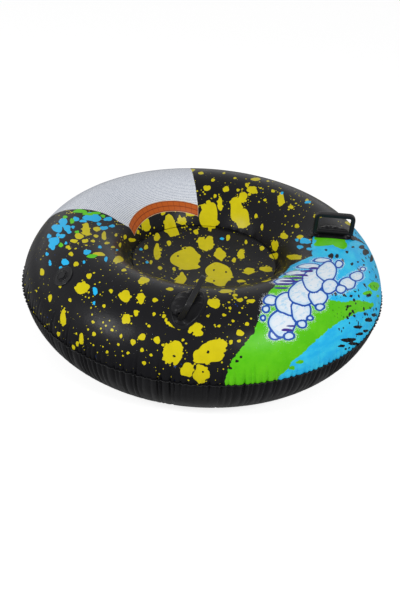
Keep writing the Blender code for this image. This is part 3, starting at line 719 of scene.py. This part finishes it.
def write_print(mesh, points, normals, angles, turns, caster, area_share):
    """Writes every field of the print, for the skin or for the seat floor."""

    def placed(pixels):
        return [caster.ring_place(*pixel) for pixel in pixels]

    zone_corners = placed(ZONE_LEFT_PIXELS) + ZONE_HIDDEN_DEGREES + placed(ZONE_TOP_PIXELS)
    green_corners = placed(GREEN_LEFT_PIXELS) + GREEN_SEAM_DEGREES + placed(GREEN_RIGHT_PIXELS)
    zone = polygon_field(angles, turns, zone_corners)
    around = np.where(angles < FIRST_ANGLE, angles + 360, angles)
    panel = polygon_field(around, turns, PANEL_RIGHT_DEGREES + PANEL_LEFT_DEGREES)
    band, band_across = band_fields(around, turns)
    clear = turns > SPECK_FIRST_TURN
    for name, field in (("zone", zone), ("panel", panel), ("band", band)):
        clear &= field < -SPECK_CLEARANCES[name]
    unseen = clear & (around > UNSEEN_ANGLES[0]) & (around < UNSEEN_ANGLES[1]) & (turns < UNSEEN_LAST_TURN)
    near_wall = clear & (np.abs(angles - NEAR_WALL_ANGLE) < NEAR_WALL_HALF_SPAN)
    near_wall &= (turns > NEAR_WALL_FIRST_TURN) & (points[:, 2] > INNER_SEAM_HEIGHT + NEAR_WALL_CLEARANCE)
    by_seam = (zone > SEAM_SPECK_CLEARANCE) & (turns < SEAM_SPECK_LAST_TURN)
    by_seam &= (around > SEAM_SPECK_ANGLES[0]) & (around < SEAM_SPECK_ANGLES[1])
    big = speck_field(points, normals, *UNSEEN_SPECKS, unseen)
    big = np.maximum(big, speck_field(points, normals, *NEAR_WALL_SPECKS, near_wall))
    count = int(SEAM_SPECK_COUNT * area_share)
    dark = speck_field(points, normals, SEAM_SPECK_SEED, count, SEAM_SPECK_SIZES, by_seam)
    fields = {
        "yellow": np.maximum(blob_fields(points, YELLOW_BLOBS, caster, 1, drops=True), big),
        "cyan": blob_fields(points, CYAN_BLOBS, caster, 2),
        "green": blob_fields(points, GREEN_BLOBS, caster, 3),
        "dark": np.maximum(blob_fields(points, DARK_BLOBS, caster, 4), dark),
        "splash": blob_fields(points, SPLASH_BLOBS, caster, 6, 0.055, rim=SPLASH_RIM),
        "purple": blob_fields(points, PURPLE_BLOBS, caster, 7),
        "zone": zone, "green_zone": polygon_field(angles, turns, green_corners), "panel": panel,
        "band": band, "band_across": band_across, "around": around, "turn": turns}
    for name, values in fields.items():
        attribute = mesh.attributes.new(name, "FLOAT", "POINT")
        attribute.data.foreach_set("value", np.ascontiguousarray(values, dtype=np.float32).reshape(-1))


# Materials

class Nodes:
    """Short ways to add shader nodes to one material or world."""

    def __init__(self, owner, end="Principled BSDF"):
        owner.use_nodes = True
        self.owner = owner
        self.tree = owner.node_tree
        self.shader = self.tree.nodes[end]

    def put(self, socket, value):
        if isinstance(value, bpy.types.NodeSocket):
            self.tree.links.new(value, socket)
        else:
            socket.default_value = (*value, 1.0) if socket.type == "RGBA" else value

    def fill(self, node, **inputs):
        """Sets or links a node's inputs by name, with _ for each space in the name."""
        for name, value in inputs.items():
            self.put(node.inputs[name.replace("_", " ")], value)
        return node

    def add(self, kind, **inputs):
        return self.fill(self.tree.nodes.new("ShaderNode" + kind), **inputs)

    def math(self, operation, first, second=0.0):
        node = self.add("Math")
        node.operation = operation
        self.put(node.inputs[0], first)
        self.put(node.inputs[1], second)
        return node.outputs[0]

    def times(self, first, second):
        return self.math("MULTIPLY", first, second)

    def off_half(self, value):
        return self.math("ABSOLUTE", self.math("SUBTRACT", value, 0.5))

    def dots(self, scale, largest, low=0.40, high=0.62):
        """Signed distance, in metres and positive inside, of scattered round dots in drifts."""
        cells = self.add("TexVoronoi", Scale=scale, Vector=self.place()).outputs
        chance = self.add("SeparateColor", Color=cells["Color"]).outputs["Red"]
        radius = self.times(self.math("POWER", chance, 2.0), largest)
        radius = self.times(radius, self.ramp(self.noise(7.0), low, high, 0.42))
        return self.math("SUBTRACT", radius, self.math("DIVIDE", cells["Distance"], scale))

    def field(self, name):
        node = self.add("Attribute")
        node.attribute_name = name
        return node.outputs["Fac"]

    def place(self):
        return self.add("TexCoord").outputs["Object"]

    def noise(self, scale, detail=2.0, roughness=0.5, stretch=None, place=None):
        """Noise from 0 to 1 in object space or at a place, whose coordinates may be stretched."""
        if place is None:
            place = self.place()
        if stretch:
            place = self.add("Mapping", Scale=stretch, Vector=place).outputs["Vector"]
        node = self.add("TexNoise", Scale=scale, Detail=detail, Roughness=roughness, Vector=place)
        return node.outputs["Fac"]

    def ramp(self, value, low, high, to_low=0.0, to_high=1.0):
        node = self.add("MapRange", Value=value, From_Min=low, From_Max=high, To_Min=to_low, To_Max=to_high)
        return node.outputs["Result"]

    def mix(self, share, first, second):
        node = self.add("Mix")
        node.data_type = "RGBA"
        return self.fill(node, Factor=share, A=first, B=second).outputs["Result"]

    def finish(self, colour, rough, low, high, ior, relief, depth, strength):
        """Joins the colour, roughness and fine relief to the shader, and gives the material."""
        bump = self.add("Bump", Distance=depth, Strength=strength, Height=relief)
        rough = self.ramp(rough, 0.3, 0.7, low, high)
        self.fill(self.shader, Base_Color=colour, Roughness=rough, IOR=ior, Normal=bump.outputs["Normal"])
        return self.owner

    def finish_vinyl(self, colour, low, high):
        """Roughness that varies softly, and the faint orange peel of pressed vinyl."""
        peel = self.math("ADD", self.noise(420.0), self.times(self.noise(38.0, 3.0), 3.0))
        return self.finish(colour, self.noise(26.0, 4.0, 0.6), low, high, VINYL_IOR, peel, 0.00022, 0.55)


def new_material(name):
    return Nodes(bpy.data.materials.new(name))


def scaled(colour, share):
    return tuple(share * part for part in colour)


def edge_share(nodes, field, wobble=0.0, scale=160.0, threshold=0.0):
    """1 inside a field and 0 outside, with a ragged edge of the given wobble in metres."""
    value = nodes.field(field)
    if wobble:
        shake = nodes.math("SUBTRACT", nodes.noise(scale, 3.0, 0.6), 0.5)
        value = nodes.math("ADD", value, nodes.times(shake, 2 * wobble))
    return nodes.ramp(value, threshold - INK_EDGE, threshold + INK_EDGE)


def printed_vinyl():
    """Glossy black vinyl with the whole print, each colour laid over the one before."""
    nodes = new_material("printed_vinyl")
    blue_dots = nodes.dots(64.0, 0.0024, 0.45, 0.60)
    fine_dots = nodes.math("MAXIMUM", nodes.dots(104.0, 0.0036), nodes.dots(52.0, 0.0056))
    yellow = nodes.mix(nodes.noise(55.0), YELLOW, scaled(YELLOW, 0.82))
    green = brushed_ink(nodes, 20.0, None, 0.40, 0.70, GREEN, GREEN_BRUSHED)
    layers = [
        (nodes.ramp(blue_dots, -DOT_EDGE, DOT_EDGE), DEEP_BLUE),
        (nodes.ramp(fine_dots, -DOT_EDGE, DOT_EDGE), yellow),
        (edge_share(nodes, "yellow", 0.0008, 210.0), yellow),
        (edge_share(nodes, "cyan", 0.0022, 210.0, 0.0002), CYAN),
        (edge_share(nodes, "zone", 0.0060, 120.0),
         brushed_ink(nodes, 24.0, (1.0, 1.0, 2.4), 0.42, 0.66, CYAN, CYAN_BRUSHED)),
        (edge_share(nodes, "green_zone", 0.0050, 110.0, -0.0045), green),
        (edge_share(nodes, "green", 0.0030, 230.0), green),
        (edge_share(nodes, "dark", 0.0024, 260.0), BLACK),
        (splash_mist(nodes), SPLASH_WHITE),
        (edge_share(nodes, "splash", 0.0008, 90.0, -SPLASH_RIM), SPLASH_BLUE),
        (edge_share(nodes, "splash", 0.0006, 90.0, 0.0002), splash_ink(nodes)),
        (edge_share(nodes, "purple", 0.0014, 120.0), SPLASH_PURPLE),
        (edge_share(nodes, "panel"), panel_ink(nodes)),
        (edge_share(nodes, "band"), band_ink(nodes))]
    colour = nodes.mix(nodes.noise(9.0, 3.0), BLACK, scaled(BLACK, 1.7))
    for share, ink in layers:
        colour = nodes.mix(share, colour, ink)
    return nodes.finish_vinyl(colour, 0.26, 0.36)


def brushed_ink(nodes, scale, stretch, low, high, first, second):
    brushed = nodes.noise(scale, 5.0, 0.65, stretch)
    return nodes.mix(nodes.ramp(brushed, low, high), first, second)


def splash_ink(nodes):
    streak = nodes.ramp(nodes.noise(60.0, 4.0, 0.7, (1.0, 2.2, 1.0)), 0.50, 0.62)
    shaded = nodes.ramp(nodes.field("splash"), 0.0008, 0.0085, 0.75, 0.0)
    return nodes.mix(nodes.times(nodes.math("MAXIMUM", streak, shaded), 0.62), SPLASH_WHITE, SPLASH_SHADE)


def splash_mist(nodes):
    """Fine white spray that thins out round the splash."""
    near = nodes.ramp(nodes.field("splash"), -0.020, -0.002, 0.0, 0.36)
    return nodes.ramp(nodes.math("ADD", nodes.noise(620.0, 1.0), near), 0.80, 0.84)


def panel_ink(nodes):
    """Pale grey with a fine hatch that runs in rows round the ring."""
    turn = nodes.field("turn")
    place = nodes.add("CombineXYZ", X=nodes.times(nodes.field("around"), 2.6), Y=nodes.times(turn, 1.08))
    grain = nodes.noise(1.0, 1.0, place=place.outputs[0])
    rows = nodes.ramp(nodes.math("SINE", nodes.times(turn, 3.4)), -0.2, 0.5)
    return nodes.mix(nodes.times(rows, nodes.ramp(grain, 0.42, 0.50)), PANEL_GREY, PANEL_DARK)


def band_ink(nodes):
    """Orange with plain divider lines: two rows of boxes."""
    halves = nodes.off_half(nodes.field("band_across"))
    middle = nodes.ramp(halves, 0.022, 0.040, 1.0, 0.0)
    rims = nodes.times(nodes.ramp(halves, 0.385, 0.400), nodes.ramp(halves, 0.430, 0.445, 1.0, 0.0))
    pitch = nodes.math("FRACT", nodes.math("DIVIDE", nodes.field("around"), BAND_DIVIDER_PITCH))
    bars = nodes.ramp(nodes.off_half(pitch), 0.018, 0.034, 1.0, 0.0)
    lines = nodes.math("MAXIMUM", nodes.math("MAXIMUM", middle, rims), bars)
    boxes = nodes.mix(nodes.times(lines, 0.85), ORANGE, ORANGE_LINE)
    return nodes.mix(nodes.ramp(nodes.field("band"), 0.0006, 0.0013, 1.0, 0.0), boxes, BAND_EDGE)


def plain_vinyl(name, colour, low, high):
    nodes = new_material(name)
    shade = nodes.mix(nodes.noise(12.0, 3.0), colour, scaled(colour, 1.8))
    return nodes.finish_vinyl(shade, low, high)


def weld_vinyl():
    """Black vinyl with the fine grain of a pressed weld."""
    nodes = new_material("weld_vinyl")
    rough, grain = nodes.noise(120.0, 3.0), nodes.noise(900.0, 1.0)
    return nodes.finish(SHEET_BLACK, rough, 0.38, 0.55, PLASTIC_IOR, grain, 0.0002, 0.6)


def moulded_plastic(name, colour, low, high):
    """Satin moulding with a fine spark-eroded grain and faint wear."""
    nodes = new_material(name)
    shade = nodes.mix(nodes.noise(70.0, 4.0), colour, scaled(colour, 1.6))
    rough, grain = nodes.noise(90.0, 4.0, 0.6), nodes.noise(1500.0)
    return nodes.finish(shade, rough, low, high, PLASTIC_IOR, grain, 0.00012, 0.5)


# Pieces

def build_top_skin(material, caster):
    first = inner_turn(INNER_SEAM_HEIGHT + GAP / 2)
    last = outer_turn(TUBE_CENTRE_HEIGHT + GAP / 2)
    smooth, puckered, *grid = ring_grid(even_turns(first, last, TOP_ROWS), RING_COLUMNS, above=True)
    mesh = grid_mesh("top_skin_looks", puckered, flip=True)
    angles, turns = (np.degrees(values).reshape(-1) for values in grid)
    write_print(mesh, smooth.reshape(-1, 3), surface_normals(smooth), angles, turns, caster, 1.0)
    cut_round_valve(mesh)
    add_piece(mesh, "top_skin", material, TOP_THICKNESS)


def surface_normals(grid):
    """Unit normals of a closed grid, pointing up or outward, one row for each point."""
    around = np.roll(grid, -1, axis=1) - np.roll(grid, 1, axis=1)
    along = np.gradient(grid, axis=0)
    normals = np.cross(along, around).reshape(-1, 3)
    return normals / (np.linalg.norm(normals, axis=1, keepdims=True) + 1e-12)


def cut_round_valve(mesh):
    """Opens the skin under the valve's flange, where the stem goes through."""
    low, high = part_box("valve_flange")
    centre = (low + high) / 2
    hole = (high.y - low.y) * VALVE_HOLE_SHARE

    def cut(shape):
        inside = [face for face in shape.faces if (face.calc_center_median() - centre).length < hole]
        bmesh.ops.delete(shape, geom=inside, context="FACES")
    edit_mesh(mesh, cut)


def build_bottom_skin(material):
    first = outer_turn(TUBE_CENTRE_HEIGHT - GAP / 2)
    last = inner_turn(INNER_SEAM_HEIGHT - GAP / 2) - FULL_TURN
    puckered = ring_grid(even_turns(first, last, BOTTOM_ROWS), RING_COLUMNS, above=False)[1]
    mesh = grid_mesh("bottom_skin_looks", puckered, flip=True)
    add_piece(mesh, "bottom_skin", material, BOTTOM_THICKNESS)


def floor_height(radius):
    share = radius / well_radius(INNER_SEAM_HEIGHT)
    return INNER_SEAM_HEIGHT - FLOOR_SAG * (1 - share * share)


def floor_grid(rows, columns, creased):
    """Points and angles of the seat floor, from its middle outward."""
    rim = well_radius(INNER_SEAM_HEIGHT - FLOOR_THICKNESS) - GAP
    radii = np.linspace(rim * FLOOR_HOLE_SHARE, rim, rows)
    angles, radius = np.meshgrid(column_angles(columns), radii)
    height = floor_height(radius)
    if creased:
        creases = crease_set(FLOOR_CREASE_COUNT, CREASE_SEED + 4)
        reach = rim * FLOOR_CREASE_REACH_SHARE
        fold = crease_depth(creases, angles, rim - radius, reach, FLOOR_CREASE_ROUNDNESS)
        fade_in = np.clip((rim - radius) / FLOOR_RIM_FADE, 0, 1)
        height = height - FLOOR_CREASE_DEPTH * fold * fade_in
        height = height + soft_waves(angles, *FLOOR_WAVES) * (radius / rim) ** 2 * fade_in
    return turned_points(angles, radius, height), angles


def build_floor(material, caster):
    points, angles = floor_grid(FLOOR_ROWS, FLOOR_COLUMNS, creased=True)
    smooth = floor_grid(FLOOR_ROWS, FLOOR_COLUMNS, creased=False)[0].reshape(-1, 3)
    mesh = grid_mesh("seat_floor_looks", points)
    turns = np.full(angles.size, FLOOR_TURN)
    normals = np.tile([0.0, 0.0, 1.0], (angles.size, 1))
    write_print(mesh, smooth, normals, np.degrees(angles).reshape(-1), turns, caster, 0.12)
    close_middle(mesh, FLOOR_COLUMNS)
    add_piece(mesh, "seat_floor", material, FLOOR_THICKNESS)


def close_middle(mesh, columns):
    """Fills the pin hole in the middle of the floor or of a patch."""
    def close(shape):
        shape.verts.ensure_lookup_table()
        shape.faces.new([shape.verts[index] for index in range(columns)])
        bmesh.ops.recalc_face_normals(shape, faces=shape.faces)
        if sum(face.normal.z for face in shape.faces) < 0:
            bmesh.ops.reverse_faces(shape, faces=shape.faces)
    edit_mesh(mesh, close)
    mesh.shade_smooth()


def build_outer_weld(material):
    """The pressed flange, scalloped with the puckers."""
    low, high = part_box("outer_weld_seam")
    angles = column_angles(RING_COLUMNS)
    pull = seam_pull(angles, np.zeros_like(angles), PUCKER_REACH_ABOVE, PUCKER_DEPTH_ABOVE)
    inner = TUBE_CENTRE_RADIUS + TUBE_HALF_WIDTH + GAP - pull
    rim = high.x - pull * WELD_RIM_PULL_SHARE
    middle = TUBE_CENTRE_HEIGHT + seam_height_wave(angles)
    half = (high.z - low.z) / 2
    rim_half = half * WELD_RIM_HALF_SHARE
    ring = [(inner, half), ((inner + rim) / 2, half), (rim, rim_half), (rim, -rim_half),
            ((inner + rim) / 2, -half), (inner, -half)]
    rows = [turned_points(angles, radius, middle + lift) for radius, lift in ring + ring[:1]]
    mesh = grid_mesh("outer_weld_looks", np.array(rows))

    def join_ends(shape):
        bmesh.ops.remove_doubles(shape, verts=shape.verts, dist=0.00001)
        bmesh.ops.recalc_face_normals(shape, faces=shape.faces)
    edit_mesh(mesh, join_ends)
    add_piece(mesh, "outer_weld_seam", material)


class FilmPatch:
    """Lays flat coordinates on the smooth ring round a point of it, as the solids are laid."""

    def __init__(self, angle, turn, yaw):
        self.side = math.copysign(1.0, angle)
        self.angle = math.radians(angle) - math.pi / 2
        self.turn = math.radians(turn)
        self.yaw = math.radians(yaw)

    def laid(self, along, across, lift):
        """World points at (along, across) on the film, lifted off it, for arrays of one shape."""
        inward = along * math.cos(self.yaw) + across * math.sin(self.yaw)
        around = across * math.cos(self.yaw) - along * math.sin(self.yaw)
        turn = np.full(np.shape(along), self.turn)
        step = inward / LAYING_STEPS
        for _ in range(LAYING_STEPS):
            middle = turn + step / film_speed(turn) / 2
            turn = turn + step / film_speed(middle)
        radius, height = section_places(turn)
        angle = self.angle + self.side * around / radius
        slope_r, slope_z = film_slope(turn)
        speed = np.hypot(slope_r, slope_z)
        radius = radius + lift * slope_z / speed
        height = height - lift * slope_r / speed
        return np.stack([radius * np.cos(angle), radius * np.sin(angle), height], axis=-1)

    def straight(self, along, across, lift):
        """World points in the flat frame that touches the film at the patch's own point."""
        outward = np.array([math.cos(self.angle), math.sin(self.angle), 0.0])
        around = np.array([-math.sin(self.angle), math.cos(self.angle), 0.0]) * self.side
        slope_r, slope_z = film_slope(np.array(self.turn))
        speed = math.hypot(slope_r, slope_z)
        inward = outward * slope_r / speed + np.array([0.0, 0.0, slope_z / speed])
        normal = np.cross(around, inward) * self.side
        first = inward * math.cos(self.yaw) - around * math.sin(self.yaw)
        second = inward * math.sin(self.yaw) + around * math.cos(self.yaw)
        radius, height = section_places(np.array([self.turn]))
        place = outward * radius[0] + np.array([0.0, 0.0, height[0]])
        return place + along[..., None] * first + across[..., None] * second + lift[..., None] * normal


def film_slope(turns):
    lift = SEAM_PINCH_SHARE * np.abs(np.sin(turns)) ** (SEAM_PINCH_SHARE - 1) * np.cos(turns)
    return -TUBE_HALF_WIDTH * np.sin(turns), TUBE_HALF_HEIGHT * lift


def film_speed(turns):
    return np.hypot(*film_slope(turns))


def fold_lines(along, across, seed, count, span, width, height):
    """Height of soft folds: random ridges that fan out from the pivot bar."""
    random = np.random.default_rng(seed)
    total = np.zeros_like(along)
    for _ in range(count):
        start = random.uniform(-0.8, 0.8) * STRAP_HALF_LENGTH
        lean = start / STRAP_HALF_LENGTH * 0.7 + random.uniform(-0.45, 0.45)
        direction = np.array([math.sin(lean), math.cos(lean)])
        from_start = (along - start) * direction[0] + across * direction[1]
        beside = (along - start) * direction[1] - across * direction[0]
        beside = beside + 0.002 * np.sin(from_start * 160 + random.uniform(0, 6))
        length = random.uniform(0.5, 1.0) * span
        share = np.clip(np.abs(from_start - length * 0.5) / (length * 0.6), 0, 1)
        thick = width * random.uniform(0.7, 1.5)
        sign = random.choice([1.0, 1.0, -0.8])
        total += sign * random.uniform(0.5, 1.0) * np.exp(-(beside / thick) ** 2) * (1 - share ** 2)
    return total * height


def film_drop(distance):
    return TUBE_HALF_HEIGHT - math.sqrt(TUBE_HALF_HEIGHT ** 2 - distance ** 2)


def pivot_height():
    wrap = PIVOT_BAR_RADIUS + GAP + STRAP_THICKNESS / 2
    return GAP + PATCH_THICKNESS + GAP + STRAP_THICKNESS / 2 + wrap


def mound_lift(along, across):
    """Lift of the patch under a foot of the loop, as the solid has it."""
    from_leg = np.minimum(np.abs(np.abs(along) - LOOP_LEG_CENTRE) / MOUND_HALF_LENGTH, 1)
    from_bar = np.minimum(np.abs(across) / MOUND_HALF_WIDTH, 1)
    peak = pivot_height() + film_drop(LOOP_LEG_CENTRE) - KNUCKLE_RADIUS - 3 * GAP - PATCH_THICKNESS
    return peak * np.cos(from_leg * math.pi / 2) ** 2 * np.cos(from_bar * math.pi / 2) ** 2


def bead_lift(values, centre, width, height, power):
    return np.exp(-((values - centre) / width) ** power) * height


def pressed_share(values, first, first_ramp, last, last_ramp):
    """1 between the two edges of a pressed band, with a ramp at each."""
    return np.clip((values - first) / first_ramp, 0, 1) * np.clip((last - values) / last_ramp, 0, 1)


def build_patch(side, film, material, seed):
    """The oval patch: a pressed, ribbed weld round its edge and loose folds inside it."""
    shares = np.concatenate([np.linspace(0.004, 0.80, 34), np.linspace(0.815, 1.0, 20)])
    turn, share = np.meshgrid(column_angles(PATCH_COLUMNS), shares)
    along = PATCH_HALF_LENGTH * share * np.cos(turn)
    across = PATCH_HALF_WIDTH * share * np.sin(turn) + PATCH_SHIFTS[side]
    pressed = pressed_share(share, *PATCH_PRESSED_BAND)
    ribs = 0.5 + 0.5 * np.sin(turn * PATCH_RIBS)
    bead = bead_lift(share, *PATCH_BEAD)
    folds = fold_lines(along, -across, seed, *PATCH_FOLDS)
    past = -FOLDS_PAST_BAR - across
    folds = np.where(past > 0, np.maximum(folds, 0), 0)
    folds = folds * np.clip((PATCH_FOLDS_END_SHARE - share) / PATCH_FOLDS_FADE_SHARE, 0, 1)
    folds = folds * np.clip(past / PATCH_FOLDS_START, 0, 1)
    lift = GAP + PATCH_THICKNESS + mound_lift(along, across) + bead + folds
    lift = lift - pressed * (PATCH_PRESSED_DEPTH - PATCH_RIB_HEIGHT * ribs)
    mesh = grid_mesh("handle_patch_looks_" + side, film.laid(along, across, lift), flip=film.side > 0)
    close_middle(mesh, PATCH_COLUMNS)
    add_piece(mesh, "handle_patch_" + side, material, PATCH_THICKNESS * PATCH_FILM_SHARE)


def strap_rows():
    """Centre line of the strap, bar first: (across, height over the patch, share along the hood)."""
    half = STRAP_THICKNESS / 2
    wrap = PIVOT_BAR_RADIUS + GAP + half
    low = GAP + half
    tail = np.linspace(1, 0, STRAP_TAIL_ROWS, endpoint=False)
    rows = [(STRAP_INNER_TAIL_LENGTH * share, low, 0.0) for share in tail]
    sweep = math.pi * 3 / 2 - STRAP_LEAVE_ANGLE
    for share in np.linspace(0, 1, STRAP_WRAP_ROWS):
        angle = -math.pi / 2 - sweep * share
        rows.append((wrap * math.cos(angle), low + wrap + wrap * math.sin(angle), 0.0))
    start_across, start_height, _ = rows[-1]
    end = STRAP_TAIL_LENGTH
    for share in np.linspace(0, 1, STRAP_HOOD_ROWS)[1:]:
        across = start_across + (end - start_across) * share
        height = start_height + (low - start_height) * share ** STRAP_FALL_POWER
        crown = STRAP_CROWN * math.sin(math.pi * share) ** STRAP_CROWN_POWER
        rows.append((across, height + crown, share))
    return np.array(rows)


def build_strap(side, film, material, seed):
    """The folded strap, a hood whose rounded edge is welded to the patch."""
    rows = strap_rows()
    across_line, height_line, hood = rows[:, 0], rows[:, 1], rows[:, 2]
    rounding = (1 - hood ** STRAP_EDGE_POWER) ** (1 / STRAP_EDGE_POWER)
    half = STRAP_HALF_LENGTH * np.maximum(rounding, STRAP_LEAST_SHARE)
    share = np.linspace(-1, 1, STRAP_COLUMNS)
    low = GAP + STRAP_THICKNESS / 2
    along = half[:, None] * share[None, :]
    across = np.repeat(across_line[:, None], len(share), axis=1)
    hood_grid = np.repeat(hood[:, None], len(share), axis=1)
    settle = np.clip((hood_grid - STRAP_SETTLE_START_SHARE) / STRAP_SETTLE_SHARE, 0, 1)
    settle = settle * settle * (3 - 2 * settle)
    side_drop = np.abs(share[None, :]) ** STRAP_EDGE_POWER * settle
    height = low + (height_line[:, None] - low) * (1 - side_drop)
    inner = np.clip(hood_grid * 6, 0, 1) * np.clip((1 - hood_grid) * 5, 0, 1)
    inner = inner * (1 - np.abs(share[None, :]) ** 4)
    height = height + fold_lines(along, across, seed, *STRAP_FOLDS) * inner
    height = np.maximum(height, low)
    lift = GAP + PATCH_THICKNESS + height
    past = np.clip((across - STRAP_LAID_START) / STRAP_LAID_RAMP, 0, 1)[..., None]
    points = film.straight(along, across, lift) * (1 - past) + film.laid(along, across, lift) * past
    mesh = grid_mesh("handle_strap_looks_" + side, points, closed_around=False)
    add_piece(mesh, "handle_strap_" + side, material, STRAP_THICKNESS, 0)


def build_flange(material):
    """The valve's flange: a ribbed weld band, and a collar round the stem's lip."""
    film = FilmPatch(*VALVE_PLACE)
    radii = np.linspace(FLANGE_BORE_RADIUS, FLANGE_RADIUS, FLANGE_ROWS)
    turn, radius = np.meshgrid(column_angles(FLANGE_COLUMNS), radii)
    collar = bead_lift(radius, *FLANGE_COLLAR)
    bead = bead_lift(radius, *FLANGE_BEAD)
    ribs = 0.5 + 0.5 * np.sin(turn * FLANGE_RIBS)
    depth = FLANGE_PRESSED_DEPTH - FLANGE_RIB_HEIGHT * ribs
    lift = GAP + FLANGE_THICKNESS + collar + bead - pressed_share(radius, *FLANGE_PRESSED_BAND) * depth
    points = film.laid(radius * np.cos(turn), radius * np.sin(turn), lift)
    mesh = grid_mesh("valve_flange_looks", points, flip=film.side > 0)
    add_piece(mesh, "valve_flange", material, FLANGE_THICKNESS * FLANGE_FILM_SHARE)


def dress_node(name, material):
    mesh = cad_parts[name].data
    mesh.materials.clear()
    mesh.materials.append(material)


# Stage

def add_area_light(name, place):
    lamp = bpy.data.lights.new(name, "AREA")
    lamp.shape = "RECTANGLE"
    lamp.size = lamp.size_y = SOFTBOX_SIZE
    lamp.energy = SOFTBOX_POWER
    light = bpy.data.objects.new(name, lamp)
    direction = Vector(SOFTBOX_TARGET) - Vector(place)
    light.rotation_euler = direction.to_track_quat("-Z", "Y").to_euler()
    light.location = place
    bpy.context.scene.collection.objects.link(light)


def add_floor():
    bpy.ops.mesh.primitive_plane_add(size=STAGE_SIZE, location=(0.0, 0.0, STAGE_HEIGHT))
    floor = bpy.context.object
    floor.name = "studio_floor"
    nodes = new_material("studio_floor")
    glow = nodes.times(nodes.add("LightPath").outputs["Is Camera Ray"], FLOOR_GLOW)
    nodes.fill(
        nodes.shader, Base_Color=FLOOR_GREY, Roughness=0.9, Specular_IOR_Level=0.1,
        Emission_Color=WHITE, Emission_Strength=glow)
    floor.data.materials.append(nodes.owner)


def add_world():
    """A plain soft sky, which the camera and reflections see as white."""
    nodes = Nodes(bpy.data.worlds.new("studio"), "Background")
    bpy.context.scene.world = nodes.owner
    rays = nodes.add("LightPath").outputs
    seen = nodes.math("MAXIMUM", rays["Is Camera Ray"], rays["Is Glossy Ray"])
    nodes.fill(nodes.shader, Color=WHITE, Strength=nodes.ramp(seen, 0.0, 1.0, SKY_STRENGTH, 1.0))


def add_stage():
    add_floor()
    add_world()
    add_area_light("left_softbox", LEFT_SOFTBOX_PLACE)
    add_area_light("front_softbox", FRONT_SOFTBOX_PLACE)
    bpy.context.scene.view_settings.view_transform = "Standard"


def main():
    add_camera()
    coarse_turns = even_turns(inner_turn(INNER_SEAM_HEIGHT), outer_turn(TUBE_CENTRE_HEIGHT), 90)
    coarse_ring = ring_grid(coarse_turns, 360, above=True)[0]
    coarse_floor = floor_grid(16, 360, creased=False)[0]
    caster = Caster(coarse_ring, coarse_floor)
    printed = printed_vinyl()
    base = plain_vinyl("base_vinyl", BASE_BLACK, 0.26, 0.38)
    weld = weld_vinyl()
    patch = plain_vinyl("patch_vinyl", SHEET_BLACK, 0.28, 0.40)
    handle = moulded_plastic("handle_plastic", BASE_BLACK, 0.28, 0.40)
    valve = moulded_plastic("valve_plastic", VALVE_BLACK, 0.22, 0.34)
    build_top_skin(printed, caster)
    build_bottom_skin(base)
    build_floor(printed, caster)
    build_outer_weld(weld)
    dress_node("inner_weld_seam", weld)
    for seed, (side, place) in enumerate(HANDLE_PLACES.items()):
        film = FilmPatch(*place)
        build_patch(side, film, patch, 40 + seed)
        build_strap(side, film, patch, 50 + seed)
        dress_node("handle_loop_" + side, handle)
    build_flange(valve)
    for name in ("valve_stem", "valve_plug", "valve_flap"):
        dress_node(name, valve)
    add_stage()


main()
